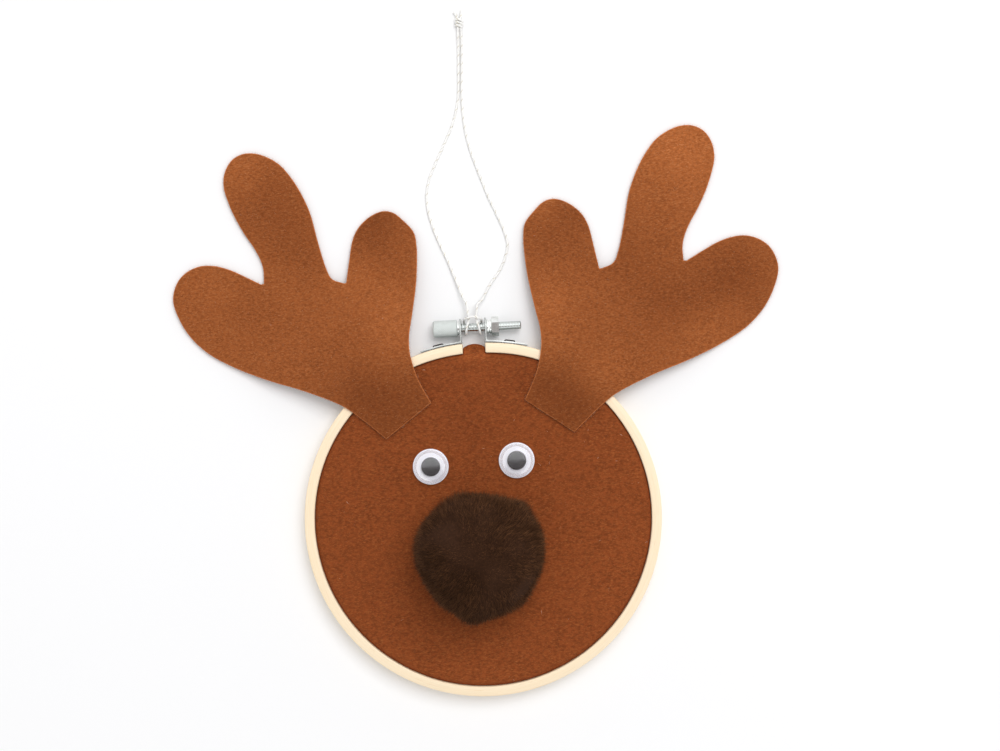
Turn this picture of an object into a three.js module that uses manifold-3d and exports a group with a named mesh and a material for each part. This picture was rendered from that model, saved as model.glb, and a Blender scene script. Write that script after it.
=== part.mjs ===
// Embroidery hoop ornament: a felt animal face stretched in a wooden hoop, with felt antlers,
// loose-pupil eyes, a fluffy nose and a twine loop on the clamp screw.
// Millimetres. The ornament lies on its back: +Z comes out of the face, +Y points to the
// antlers, and the hoop's axis is X = Y = 0 until the last lines, which centre the whole.

import * as THREE from 'three';
import { mergeVertices } from 'three/addons/utils/BufferGeometryUtils.js';
import { TessellateModifier } from 'three/addons/modifiers/TessellateModifier.js';
import Module from 'manifold-3d';

const wasm = await Module();
wasm.setup();

// Clearances
const FIT_GAP = 0.3;
const CUT_OVERRUN = 1;

// Hoops: a closed inner ring, and an outer ring that is cut open at the top
const INNER_HOOP_RADIUS = 76.2;
const INNER_HOOP_WALL = 4;
const INNER_HOOP_HEIGHT = 8;
const OUTER_HOOP_WALL = 4.8;
const OUTER_HOOP_HEIGHT = 9.5;
const HOOP_GAP = 10.6;
const WOOD_EDGE_RADIUS = 0.6;

// Face felt: a disc over the inner ring, with a skirt squeezed between the rings
const FACE_FELT_THICKNESS = 1.2;
const SQUEEZED_FELT_THICKNESS = 0.6;
const FELT_SHOULDER_RADIUS = 2.2;
const FELT_HEM_HEIGHT = 0.4;
const FELT_BULGE = 3.2;
const FELT_BULGE_REACH = 5;

// Clamp brackets: a strap on the outer ring's wall, bent out into an ear for the screw
const BRACKET_WIDTH = 8.6;
const BRACKET_THICKNESS = 0.8;
const BRACKET_BEND_RADIUS = 1.4;
const STRAP_LENGTH = 20;
const SCREW_AXIS_HEIGHT = 6;

// Staples: flat wire, driven through a strap into the wood
const STAPLE_WIRE = 0.8;
const STAPLE_WIDTH = 5;
const STAPLE_LEG_DEPTH = 3;
const STAPLE_PLACE = 11.4;

// Clamp screw, its collar and its nut
const ROD_RADIUS = 2;
const ROD_LENGTH = 28.7;
const ROD_CHAMFER = 0.4;
const KNOB_RADIUS = 3.9;
const KNOB_LENGTH = 11.4;
const KNOB_CHAMFER = 0.6;
const SHOULDER_RADIUS = 3.3;
const SHOULDER_LENGTH = 0.7;
const COLLAR_RADIUS = 3.5;
const COLLAR_LENGTH = 2.2;
const NUT_ACROSS_FLATS = 8;
const NUT_LENGTH = 3.4;

// Antlers: cut from one pattern, the right one a little larger
const ANTLER_THICKNESS = 1.2;
const LEFT_ANTLER_WIDTH = 117.6;
const LEFT_ANTLER_LENGTH = 135.8;
const LEFT_ANTLER_INSET = 21;
const LEFT_ANTLER_BASE = 38.8;
const RIGHT_ANTLER_WIDTH = 121;
const RIGHT_ANTLER_LENGTH = 139.6;
const RIGHT_ANTLER_INSET = 22.2;
const RIGHT_ANTLER_BASE = 37.5;
const ANTLER_TIP_LIFT = 0.6;
const ANTLER_DROOP_LENGTH = 65;
const ANTLER_GLUE_HALF_WIDTH = 11;
const ANTLER_GLUE_HALF_DEPTH = 5;
const ANTLER_GLUE_INSET = 9;

// Eyes: a white back, a clear dome with a flange, and a loose black pupil
const EYE_DIAMETER = 16.5;
const EYE_FLANGE = 0.5;
const EYE_BACK_THICKNESS = 0.6;
const EYE_DOME_WALL = 0.5;
const EYE_DOME_RISE = 4.2;
const EYE_DOME_SHOULDER = 2.4;
const PUPIL_DIAMETER = 8.8;
const PUPIL_THICKNESS = 0.8;
const EYE_GLUE_RADIUS = 6;
const EYE_GLUE_THICKNESS = 0.3;
const LEFT_EYE_X = -22.7;
const LEFT_EYE_Y = 25;
const RIGHT_EYE_X = 17;
const RIGHT_EYE_Y = 25.9;

// Nose: a pompom flattened where it is glued down
const NOSE_RADIUS = 30;
const NOSE_HALF_HEIGHT = 26.5;
const NOSE_FLAT_DEPTH = 3;
const NOSE_LUMP = 0.5;
const NOSE_GLUE_RADIUS = 11;
const NOSE_GLUE_THICKNESS = 0.4;
const NOSE_X = -2.1;
const NOSE_Y = -16;

// Hanging cord: one length of twine, hitched round the rod and knotted at its top
const CORD_RADIUS = 0.6;
const CORD_HITCH_LENGTH = 56;
const KNOT_HALF_WIDTH = 2.3;
const KNOT_HALF_LENGTH = 3.2;
const KNOT_HALF_HEIGHT = 1.5;
const KNOT_X = 0.9;
const KNOT_Y = 229.8;

// Facets
const RING_FACETS = 64;
const GAP_FACETS = 8;
const ROUND_FACETS = 20;
const DISC_FACETS = 28;
const STRAP_FACETS = 8;
const CORD_SIDES = 8;
const STRAND_STEP = 3.6;
const HITCH_STEP = 1.3;
const FELT_FACET_SIZE = 18;

// Sizes that follow from the ones above
const skirtInnerRadius = INNER_HOOP_RADIUS + FIT_GAP;
const skirtOuterRadius = skirtInnerRadius + SQUEEZED_FELT_THICKNESS;
const outerHoopInnerRadius = skirtOuterRadius + FIT_GAP;
const outerHoopRadius = outerHoopInnerRadius + OUTER_HOOP_WALL;
const faceZ = INNER_HOOP_HEIGHT + FACE_FELT_THICKNESS;
const strapInnerRadius = outerHoopRadius + FIT_GAP;
const strapOuterRadius = strapInnerRadius + BRACKET_THICKNESS;
const screwY = outerHoopRadius + SCREW_AXIS_HEIGHT;
const screwZ = OUTER_HOOP_HEIGHT / 2;
const earOuterX = HOOP_GAP / 2 + BRACKET_THICKNESS;
const boreRadius = ROD_RADIUS + FIT_GAP;

// Materials
function finish(color, roughness, metalness = 0, extra = {}) {
  return new THREE.MeshStandardMaterial({ color, roughness, metalness, ...extra });
}

const bamboo = finish('#fbe6c8', 0.55);
const darkFelt = finish('#844525', 0.95);
const lightFelt = finish('#96552f', 0.95);
const zincSteel = finish('#d2d5d5', 0.3, 1);
const darkSteel = finish('#3a3634', 0.45, 1);
const whitePlastic = finish('#f1f0ee', 0.45);
const blackPlastic = finish('#17161a', 0.3);
const clearPlastic = finish('#ffffff', 0.08, 0, { transparent: true, opacity: 0.25 });
const woolYarn = finish('#33251f', 1);
const driedGlue = finish('#e9e3d2', 0.4);
const paleTwine = finish('#efe9dc', 0.9);

const ornament = new THREE.Group();

function addPart(name, geometry, material) {
  const mesh = new THREE.Mesh(geometry, material);
  mesh.name = name;
  ornament.add(mesh);
  return mesh;
}

// Solids that are joined or cut

function solidFrom(geometry) {
  const bare = geometry.clone();
  bare.deleteAttribute('normal');
  bare.deleteAttribute('uv');
  const merged = mergeVertices(bare);
  return new wasm.Manifold(new wasm.Mesh({
    numProp: 3,
    vertProperties: new Float32Array(merged.attributes.position.array),
    triVerts: new Uint32Array(merged.index.array),
  }));
}

function geometryFrom(solid) {
  const mesh = solid.getMesh();
  const geometry = new THREE.BufferGeometry();
  geometry.setAttribute('position', new THREE.BufferAttribute(mesh.vertProperties, mesh.numProp));
  geometry.setIndex(new THREE.BufferAttribute(mesh.triVerts, 1));
  geometry.computeVertexNormals();
  return geometry;
}

// A plate: an outline extruded upwards from a given height
function plate(outline, thickness, z, facets = ROUND_FACETS) {
  const options = { depth: thickness, bevelEnabled: false, curveSegments: facets / 2 };
  return new THREE.ExtrudeGeometry(outline, options).translate(0, 0, z);
}

function disc(radius, thickness, x, y, z) {
  const outline = new THREE.Shape().absarc(0, 0, radius, 0, 2 * Math.PI);
  return plate(outline, thickness, z, DISC_FACETS).translate(x, y, 0);
}

// A profile of [radius, height] points turned round the Z axis
function turned(profile, facets) {
  const points = profile.map(([radius, height]) => new THREE.Vector2(radius, height));
  return new THREE.LatheGeometry(points, facets).rotateX(Math.PI / 2);
}

// A profile of [radius, place] points turned round the screw's axis
function turnedOnScrew(profile) {
  const points = profile.map(([radius, place]) => new THREE.Vector2(radius, place));
  const geometry = new THREE.LatheGeometry(points, ROUND_FACETS);
  return geometry.rotateZ(-Math.PI / 2).translate(0, screwY, screwZ);
}

function smoothStep(share) {
  const t = Math.min(Math.max(share, 0), 1);
  return t * t * (3 - 2 * t);
}

// Inner hoop

function innerHoop() {
  const bore = INNER_HOOP_RADIUS - INNER_HOOP_WALL;
  const round = WOOD_EDGE_RADIUS;
  return turned([
    [bore, round],
    [bore + round, 0],
    [INNER_HOOP_RADIUS - round, 0],
    [INNER_HOOP_RADIUS, round],
    [INNER_HOOP_RADIUS, INNER_HOOP_HEIGHT - round],
    [INNER_HOOP_RADIUS - round, INNER_HOOP_HEIGHT],
    [bore + round, INNER_HOOP_HEIGHT],
    [bore, INNER_HOOP_HEIGHT - round],
    [bore, round],
  ], RING_FACETS);
}

// Face felt: the lathe's columns are drawn together at the gap, where the felt swells out

function faceFelt() {
  const shoulder = FELT_SHOULDER_RADIUS;
  const shoulderSteps = 3;
  const profile = [[0, INNER_HOOP_HEIGHT]];
  profile.push([skirtInnerRadius, INNER_HOOP_HEIGHT]);
  profile.push([skirtInnerRadius, FELT_HEM_HEIGHT]);
  profile.push([skirtOuterRadius, FELT_HEM_HEIGHT]);
  profile.push([skirtOuterRadius, faceZ / 2]);
  for (let step = 0; step <= shoulderSteps; step += 1) {
    const turn = (step / shoulderSteps) * (Math.PI / 2);
    const radius = skirtOuterRadius - shoulder + shoulder * Math.cos(turn);
    profile.push([radius, faceZ - shoulder + shoulder * Math.sin(turn)]);
  }
  profile.push([skirtOuterRadius - shoulder - FELT_BULGE_REACH, faceZ]);
  profile.push([0, faceZ]);
  profile.reverse();

  const gapAngle = Math.asin(HOOP_GAP / 2 / outerHoopInnerRadius);
  const facets = RING_FACETS + GAP_FACETS;
  const geometry = turned(profile, facets);
  const position = geometry.attributes.position;
  const innerReach = skirtOuterRadius - shoulder - FELT_BULGE_REACH;
  const bulge = Math.min(FELT_BULGE, OUTER_HOOP_WALL);
  for (let index = 0; index < position.count; index += 1) {
    const column = Math.floor(index / profile.length);
    const radius = Math.hypot(position.getX(index), position.getY(index));
    const angle = columnAngle(column, facets, gapAngle);
    const swell = Math.max(1 - (angle / gapAngle) ** 2, 0);
    const share = smoothStep((radius - innerReach) / (skirtInnerRadius - innerReach));
    const pushed = radius + bulge * swell * share;
    position.setX(index, pushed * Math.sin(angle));
    position.setY(index, pushed * Math.cos(angle));
  }
  return geometry;
}

// The angle from the gap of a column: fine steps across the gap, even steps round the rest
function columnAngle(column, facets, gapAngle) {
  const half = facets / 2;
  const place = column > half ? column - facets : column;
  const fine = GAP_FACETS / 2;
  if (Math.abs(place) <= fine) {
    return (place / fine) * gapAngle;
  }
  const coarseShare = (Math.abs(place) - fine) / (half - fine);
  return Math.sign(place) * (gapAngle + coarseShare * (Math.PI - gapAngle));
}

// Outer hoop: a ring with a sawn gap and slots for the staples' legs

function outerHoop() {
  const top = Math.PI / 2;
  const outerCut = Math.asin(HOOP_GAP / 2 / outerHoopRadius);
  const innerCut = Math.asin(HOOP_GAP / 2 / outerHoopInnerRadius);
  const fullTurn = 2 * Math.PI;
  const outline = new THREE.Shape();
  outline.absarc(0, 0, outerHoopRadius, top + outerCut, top - outerCut + fullTurn);
  outline.absarc(0, 0, outerHoopInnerRadius, top - innerCut + fullTurn, top + innerCut, true);
  outline.closePath();
  const ring = new THREE.ExtrudeGeometry(outline, {
    depth: OUTER_HOOP_HEIGHT - 2 * WOOD_EDGE_RADIUS,
    bevelThickness: WOOD_EDGE_RADIUS,
    bevelSize: WOOD_EDGE_RADIUS,
    bevelOffset: -WOOD_EDGE_RADIUS,
    bevelSegments: 1,
    curveSegments: RING_FACETS / 2,
  }).translate(0, 0, WOOD_EDGE_RADIUS);
  const slots = solidFrom(stapleGeometry(-1, FIT_GAP)).add(solidFrom(stapleGeometry(1, FIT_GAP)));
  return geometryFrom(solidFrom(ring).subtract(slots));
}

// Brackets: side is -1 on the left and 1 on the right

function bracket(side) {
  const earInnerX = HOOP_GAP / 2;
  const top = Math.PI / 2;
  const innerStart = top - Math.asin(earInnerX / strapInnerRadius);
  const outerStart = top - Math.asin((earOuterX + BRACKET_BEND_RADIUS) / strapOuterRadius);
  const strapEnd = innerStart - STRAP_LENGTH / strapInnerRadius;
  const earTop = screwY + BRACKET_WIDTH / 2 + CUT_OVERRUN;
  const footY = strapOuterRadius * Math.sin(outerStart);
  const outline = new THREE.Shape();
  outline.moveTo(earInnerX, earTop);
  outline.lineTo(earInnerX, strapInnerRadius * Math.sin(innerStart));
  outline.absarc(0, 0, strapInnerRadius, innerStart, strapEnd, true);
  outline.absarc(0, 0, strapOuterRadius, strapEnd, outerStart);
  outline.quadraticCurveTo(earOuterX, footY, earOuterX, footY + BRACKET_BEND_RADIUS);
  outline.lineTo(earOuterX, earTop);
  outline.closePath();
  const bottomZ = screwZ - BRACKET_WIDTH / 2;
  const blank = solidFrom(plate(outline, BRACKET_WIDTH, bottomZ, STRAP_FACETS));
  const earWindow = solidFrom(earRounding());
  const hole = solidFrom(screwBore(boreRadius));
  let solid = blank.intersect(earWindow).subtract(hole);
  if (side < 0) {
    solid = solid.mirror([1, 0, 0]);
  }
  return geometryFrom(solid.subtract(solidFrom(stapleGeometry(side, FIT_GAP))));
}

// Everything below the screw's axis, and a half round above it: it rounds an ear's top
function earRounding() {
  const half = BRACKET_WIDTH / 2;
  const outline = new THREE.Shape();
  outline.moveTo(half, -screwY);
  outline.absarc(0, 0, half, 0, Math.PI);
  outline.lineTo(-half, -screwY);
  outline.closePath();
  return alongScrew(outline, outerHoopRadius);
}

function screwBore(radius) {
  const outline = new THREE.Shape().absarc(0, 0, radius, 0, 2 * Math.PI);
  return alongScrew(outline, outerHoopRadius);
}

// An outline in [Z, Y] about the screw's axis, extruded to both sides along it
function alongScrew(outline, reach) {
  const options = { depth: 2 * reach, bevelEnabled: false, curveSegments: ROUND_FACETS / 2 };
  const geometry = new THREE.ExtrudeGeometry(outline, options).translate(0, 0, -reach);
  return geometry.rotateY(Math.PI / 2).translate(0, screwY, screwZ);
}

// Staples: a crown on the strap and two legs into the wood; grow widens it into a slot

function stapleGeometry(side, grow) {
  const half = STAPLE_WIDTH / 2;
  const crownFoot = strapOuterRadius + FIT_GAP;
  const crownTop = crownFoot + STAPLE_WIRE + (grow ? CUT_OVERRUN : 0);
  const legTip = outerHoopRadius - STAPLE_LEG_DEPTH - grow;
  const outline = new THREE.Shape();
  outline.moveTo(-half - grow, legTip);
  outline.lineTo(-half + STAPLE_WIRE + grow, legTip);
  outline.lineTo(-half + STAPLE_WIRE + grow, crownFoot);
  outline.lineTo(half - STAPLE_WIRE - grow, crownFoot);
  outline.lineTo(half - STAPLE_WIRE - grow, legTip);
  outline.lineTo(half + grow, legTip);
  outline.lineTo(half + grow, crownTop);
  outline.lineTo(-half - grow, crownTop);
  outline.closePath();
  const wire = STAPLE_WIRE + 2 * grow;
  const angle = (HOOP_GAP / 2 + STAPLE_PLACE) / outerHoopRadius;
  return plate(outline, wire, screwZ - wire / 2).rotateZ(-side * angle);
}

// Clamp screw: knob, shoulder and rod in one

function clampScrew() {
  const shoulderEnd = -earOuterX - FIT_GAP;
  const knobEnd = shoulderEnd - SHOULDER_LENGTH;
  const knobStart = knobEnd - KNOB_LENGTH;
  const rodEnd = shoulderEnd + ROD_LENGTH;
  return turnedOnScrew([
    [0, knobStart],
    [KNOB_RADIUS - KNOB_CHAMFER, knobStart],
    [KNOB_RADIUS, knobStart + KNOB_CHAMFER],
    [KNOB_RADIUS, knobEnd - KNOB_CHAMFER],
    [KNOB_RADIUS - KNOB_CHAMFER, knobEnd],
    [SHOULDER_RADIUS, knobEnd],
    [SHOULDER_RADIUS, shoulderEnd],
    [ROD_RADIUS, shoulderEnd],
    [ROD_RADIUS, rodEnd - ROD_CHAMFER],
    [ROD_RADIUS - ROD_CHAMFER, rodEnd],
    [0, rodEnd],
  ]);
}

const collarStart = earOuterX + FIT_GAP;
const nutStart = collarStart + COLLAR_LENGTH;

function nutCollar() {
  return turnedOnScrew([
    [boreRadius, collarStart],
    [COLLAR_RADIUS, collarStart],
    [COLLAR_RADIUS, nutStart],
    [boreRadius, nutStart],
    [boreRadius, collarStart],
  ]);
}

// Hexagon nut with a flat to the front and two corners in line with the hoop's middle
function clampNut() {
  const cornerRadius = NUT_ACROSS_FLATS / Math.sqrt(3);
  const outline = new THREE.Shape();
  for (let corner = 0; corner < 6; corner += 1) {
    const angle = Math.PI / 2 + (corner * Math.PI) / 3;
    const x = cornerRadius * Math.cos(angle);
    const y = cornerRadius * Math.sin(angle);
    if (corner === 0) {
      outline.moveTo(x, y);
    } else {
      outline.lineTo(x, y);
    }
  }
  outline.closePath();
  outline.holes.push(new THREE.Path().absarc(0, 0, boreRadius, 0, 2 * Math.PI, true));
  const geometry = plate(outline, NUT_LENGTH, 0).rotateY(Math.PI / 2);
  return geometry.translate(nutStart, screwY, screwZ);
}

// Antlers. The pattern runs from the base's inner corner up and round to its outer corner,
// in shares of the antler's width and length, with a smooth run between sharp corners.

const innerTineShares = [
  [0, 0.115], [0.032, 0.17], [0.056, 0.222], [0.073, 0.29], [0.0725, 0.345], [0.057, 0.416],
  [0.036, 0.52], [0.028, 0.6], [0.027, 0.65], [0.036, 0.7], [0.074, 0.741], [0.112, 0.77],
  [0.149, 0.778], [0.187, 0.77], [0.222, 0.752], [0.257, 0.722], [0.279, 0.684],
  [0.298, 0.605], [0.312, 0.538],
];
const middleTineShares = [
  [0.32, 0.537], [0.368, 0.555], [0.39, 0.595], [0.416, 0.682], [0.442, 0.785],
  [0.478, 0.862], [0.515, 0.916], [0.552, 0.955], [0.597, 0.982], [0.648, 0.998],
  [0.697, 0.998], [0.74, 0.979], [0.77, 0.938], [0.777, 0.888], [0.762, 0.835],
  [0.735, 0.775], [0.7, 0.717], [0.668, 0.672], [0.645, 0.628], [0.637, 0.596],
  [0.638, 0.55],
];
const outerTineShares = [
  [0.65, 0.549], [0.715, 0.58], [0.772, 0.605], [0.834, 0.621], [0.889, 0.6215],
  [0.943, 0.603], [0.98, 0.57], [1, 0.517], [0.991, 0.47], [0.946, 0.39], [0.873, 0.323],
  [0.765, 0.267], [0.636, 0.219], [0.497, 0.177], [0.345, 0.118], [0.271, 0.069],
  [0.182, 0],
];

const antlers = {
  left: {
    side: -1,
    width: LEFT_ANTLER_WIDTH,
    length: LEFT_ANTLER_LENGTH,
    inset: LEFT_ANTLER_INSET,
    base: LEFT_ANTLER_BASE,
  },
  right: {
    side: 1,
    width: RIGHT_ANTLER_WIDTH,
    length: RIGHT_ANTLER_LENGTH,
    inset: RIGHT_ANTLER_INSET,
    base: RIGHT_ANTLER_BASE,
  },
};

function antlerPoints(antler, shares) {
  return shares.map(([across, up]) => new THREE.Vector2(
    antler.side * (antler.inset + across * antler.width),
    antler.base + up * antler.length,
  ));
}

function antlerOutline(antler) {
  const outline = new THREE.Shape();
  const runs = [innerTineShares, middleTineShares, outerTineShares];
  runs.forEach((shares, run) => {
    const points = antlerPoints(antler, shares);
    if (run === 0) {
      outline.moveTo(points[0].x, points[0].y);
    } else {
      outline.lineTo(points[0].x, points[0].y);
    }
    outline.splineThru(points.slice(1));
  });
  outline.closePath();
  return outline;
}

// How high the felt's underside lies: flat over the hoop, then drooping to the table
function antlerUnderside(x, y) {
  const flatZ = OUTER_HOOP_HEIGHT + FIT_GAP;
  const past = Math.hypot(x, y) - outerHoopRadius;
  return flatZ - (flatZ - ANTLER_TIP_LIFT) * smoothStep(past / ANTLER_DROOP_LENGTH);
}

function antlerFelt(antler) {
  const flat = new THREE.ExtrudeGeometry(antlerOutline(antler), {
    depth: ANTLER_THICKNESS,
    bevelEnabled: false,
    curveSegments: 2,
  });
  const passes = 10;
  const geometry = new TessellateModifier(FELT_FACET_SIZE, passes).modify(flat);
  const position = geometry.attributes.position;
  for (let index = 0; index < position.count; index += 1) {
    const x = position.getX(index);
    const y = position.getY(index);
    position.setZ(index, position.getZ(index) + antlerUnderside(x, y));
  }
  return geometry;
}

// The glue between an antler's base and the face, set back from the base's straight edge
function antlerGlue(antler) {
  const [inner] = antlerPoints(antler, innerTineShares);
  const outer = antlerPoints(antler, outerTineShares).pop();
  const edge = outer.clone().sub(inner).normalize();
  const inward = new THREE.Vector2(-edge.y, edge.x).multiplyScalar(antler.side);
  const centre = inner.clone().add(outer).multiplyScalar(0.5);
  centre.addScaledVector(inward, ANTLER_GLUE_INSET);
  const outline = new THREE.Shape().absellipse(
    0, 0, ANTLER_GLUE_HALF_WIDTH, ANTLER_GLUE_HALF_DEPTH, 0, 2 * Math.PI,
  );
  const thickness = OUTER_HOOP_HEIGHT + FIT_GAP - faceZ;
  const pad = plate(outline, thickness, faceZ).rotateZ(Math.atan2(edge.y, edge.x));
  return pad.translate(centre.x, centre.y, 0);
}

// Eyes

const eyeBackZ = faceZ + EYE_GLUE_THICKNESS;
const eyeFloorZ = eyeBackZ + EYE_BACK_THICKNESS;

function eyeDome(x, y) {
  const flange = EYE_DIAMETER / 2;
  const outer = flange - EYE_FLANGE;
  const inner = outer - EYE_DOME_WALL;
  const rise = EYE_DOME_RISE;
  const wall = EYE_DOME_WALL;
  const shoulder = EYE_DOME_SHOULDER;
  const crownDrop = shoulder / 4;
  return turned([
    [0, rise - wall],
    [inner - shoulder, rise - wall - crownDrop],
    [inner - crownDrop, rise - wall - shoulder],
    [inner, 0],
    [flange, 0],
    [flange, wall],
    [outer, wall],
    [outer - crownDrop, rise - shoulder],
    [outer - shoulder, rise - crownDrop],
    [0, rise],
  ], DISC_FACETS).translate(x, y, eyeFloorZ);
}

function addEye(side, x, y) {
  addPart(`${side}_eye_glue`, disc(EYE_GLUE_RADIUS, EYE_GLUE_THICKNESS, x, y, faceZ), driedGlue);
  const back = disc(EYE_DIAMETER / 2, EYE_BACK_THICKNESS, x, y, eyeBackZ);
  addPart(`${side}_eye_backing`, back, whitePlastic);
  const pupilZ = eyeFloorZ + FIT_GAP;
  const pupil = disc(PUPIL_DIAMETER / 2, PUPIL_THICKNESS, x, y, pupilZ);
  addPart(`${side}_eye_pupil`, pupil, blackPlastic);
  addPart(`${side}_eye_dome`, eyeDome(x, y), clearPlastic);
}

// Nose: a ball with soft lumps, flat underneath

function nosePompom() {
  const floorZ = faceZ + NOSE_GLUE_THICKNESS;
  const centreZ = floorZ + NOSE_HALF_HEIGHT - NOSE_FLAT_DEPTH;
  const geometry = new THREE.SphereGeometry(1, DISC_FACETS, ROUND_FACETS).rotateX(Math.PI / 2);
  const position = geometry.attributes.position;
  const point = new THREE.Vector3();
  for (let index = 0; index < position.count; index += 1) {
    point.fromBufferAttribute(position, index);
    const around = Math.atan2(point.y, point.x);
    const equator = 1 - point.z * point.z;
    const lump = NOSE_LUMP * equator * (Math.cos(3 * around + 1) + Math.cos(5 * around));
    const x = point.x * (NOSE_RADIUS + lump);
    const y = point.y * (NOSE_RADIUS + lump);
    const z = Math.max(point.z * NOSE_HALF_HEIGHT + centreZ, floorZ);
    position.setXYZ(index, NOSE_X + x, NOSE_Y + y, z);
  }
  return geometry;
}

// Hanging cord. Its route runs from the knot down the left strand, through the hitch and
// up the right strand. The hitch's points are given from the screw's axis.

const leftStrandRoute = [
  [0.1, 226.3, 1.3], [-0.1, 219.9, 0.7], [-0.6, 208.3, 0.65], [-1.3, 196.7, 0.65],
  [-2.6, 189.8, 0.65], [-4.8, 182.9, 0.65], [-8.5, 175.2, 0.65], [-13.2, 166.1, 0.65],
  [-16.9, 157.9, 0.65], [-18.4, 151, 0.65], [-18.1, 144, 0.65], [-16.2, 135.5, 0.65],
  [-13.3, 127.4, 0.65], [-10, 119.3, 0.8], [-6.3, 108.8, 1.7], [-4, 102.5, 3],
  [-2.4, 98.8, 3.7],
];
const hitchRoute = [
  [-2.2, 7.6, -0.6], [-1.8, 5.6, -0.1], [-1.8, 3.9, 0.7], [-2.2, 2.1, 2.3], [-2.8, 0, 3],
  [-3.2, -2.1, 2.15], [-3.5, -3, -0.3], [-3.7, -1.8, -2.4], [-3.9, 0.6, -2.95],
  [-4, 2.7, -1.3], [-3.9, 3.5, 0.8], [-2.7, 4.3, 2.7], [0, 4.9, 3.3], [2.7, 4.3, 2.7],
  [3.9, 3.5, 0.8], [4, 2.7, -1.3], [3.9, 0.6, -2.95], [3.7, -1.8, -2.4],
  [3.5, -3, -0.3], [3.2, -2.1, 2.15], [2.8, 0, 3], [2.2, 2.1, 2.3], [1.8, 3.9, 0.7],
  [1.8, 5.6, -0.1], [2.2, 7.6, -0.6],
];
const rightStrandRoute = [
  [2.4, 98.4, 3.7], [4.9, 101, 3.1], [8.9, 107.6, 1.7], [13.9, 114.4, 0.8], [16.5, 119.8, 0.65],
  [18, 125.8, 0.65], [16.9, 131.9, 0.65], [13.9, 140, 0.65], [10.5, 148.1, 0.65],
  [7.2, 157.6, 0.65], [4.1, 167.1, 0.65], [2.2, 174.2, 0.65], [1, 181.3, 0.65],
  [0.4, 189.7, 0.65], [0.4, 196.7, 0.65], [1, 208.3, 0.65], [1.6, 219.9, 0.7],
  [1.7, 226.3, 1.3],
];

function cordRoute() {
  const hitch = hitchRoute.map(([x, y, z]) => [x, screwY + y, screwZ + z]);
  const points = [...leftStrandRoute, ...hitch, ...rightStrandRoute];
  const route = new THREE.CatmullRomCurve3(
    points.map(([x, y, z]) => new THREE.Vector3(x, y, z)), false, 'centripetal',
  );
  route.arcLengthDivisions = 1200;
  return route;
}

// A part of a longer route, from one length along it to another
class RouteStretch extends THREE.Curve {
  constructor(route, from, to) {
    super();
    this.route = route;
    this.from = from;
    this.to = to;
  }

  getPoint(share, target = new THREE.Vector3()) {
    const place = this.from + (this.to - this.from) * share;
    return target.copy(this.route.getPointAt(place / this.route.getLength()));
  }
}

function cordTube(route, from, to, step) {
  const section = new THREE.Shape();
  for (let side = 0; side < CORD_SIDES; side += 1) {
    const angle = (2 * Math.PI * side) / CORD_SIDES;
    const x = CORD_RADIUS * Math.cos(angle);
    const y = CORD_RADIUS * Math.sin(angle);
    if (side === 0) {
      section.moveTo(x, y);
    } else {
      section.lineTo(x, y);
    }
  }
  section.closePath();
  const steps = Math.round((to - from) / step);
  const extrudePath = new RouteStretch(route, from, to);
  return new THREE.ExtrudeGeometry(section, { steps, extrudePath, bevelEnabled: false });
}

// The least gap between two stretches of the hitch that aren't next to each other
function leastHitchGap(route, from, to) {
  const spacing = HITCH_STEP / 4;
  const apart = Math.round((6 * CORD_RADIUS) / spacing);
  const count = Math.floor((to - from) / spacing);
  const stretch = new RouteStretch(route, from, to);
  const points = stretch.getPoints(count);
  let least = Infinity;
  for (let one = 0; one < points.length; one += 1) {
    for (let other = one + apart; other < points.length; other += 1) {
      least = Math.min(least, points[one].distanceTo(points[other]));
    }
  }
  return least - 2 * CORD_RADIUS;
}

function addCord() {
  const route = cordRoute();
  const length = route.getLength();
  const hitchStart = (length - CORD_HITCH_LENGTH) / 2;
  const hitchEnd = hitchStart + CORD_HITCH_LENGTH;
  const left = cordTube(route, 0, hitchStart - FIT_GAP, STRAND_STEP);
  const right = cordTube(route, hitchEnd + FIT_GAP, length, STRAND_STEP);
  addPart('cord_left_strand', left, paleTwine);
  addPart('cord_hitch', cordTube(route, hitchStart, hitchEnd, HITCH_STEP), paleTwine);
  addPart('cord_right_strand', right, paleTwine);
  const gap = leastHitchGap(route, hitchStart, hitchEnd);
  console.log(`cord ${length.toFixed(1)} mm, least gap in the hitch ${gap.toFixed(2)} mm`);
}

function cordKnot() {
  const lump = new THREE.SphereGeometry(1, ROUND_FACETS / 2, ROUND_FACETS / 3);
  lump.scale(KNOT_HALF_WIDTH, KNOT_HALF_LENGTH, KNOT_HALF_HEIGHT);
  return lump.translate(KNOT_X, KNOT_Y, KNOT_HALF_HEIGHT);
}

// The whole ornament

addPart('outer_hoop', outerHoop(), bamboo);
addPart('inner_hoop', innerHoop(), bamboo);
addPart('face_felt', faceFelt(), darkFelt);
addPart('left_bracket', bracket(-1), zincSteel);
addPart('right_bracket', bracket(1), zincSteel);
addPart('left_staple', stapleGeometry(-1, 0), darkSteel);
addPart('right_staple', stapleGeometry(1, 0), darkSteel);
addPart('clamp_screw', clampScrew(), zincSteel);
addPart('nut_collar', nutCollar(), zincSteel);
addPart('clamp_nut', clampNut(), zincSteel);
for (const [side, antler] of Object.entries(antlers)) {
  addPart(`${side}_antler_glue`, antlerGlue(antler), driedGlue);
  addPart(`${side}_antler`, antlerFelt(antler), lightFelt);
}
addEye('left', LEFT_EYE_X, LEFT_EYE_Y);
addEye('right', RIGHT_EYE_X, RIGHT_EYE_Y);
const noseGlue = disc(NOSE_GLUE_RADIUS, NOSE_GLUE_THICKNESS, NOSE_X, NOSE_Y, faceZ);
addPart('nose_glue', noseGlue, driedGlue);
addPart('nose_pompom', nosePompom(), woolYarn);

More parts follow.
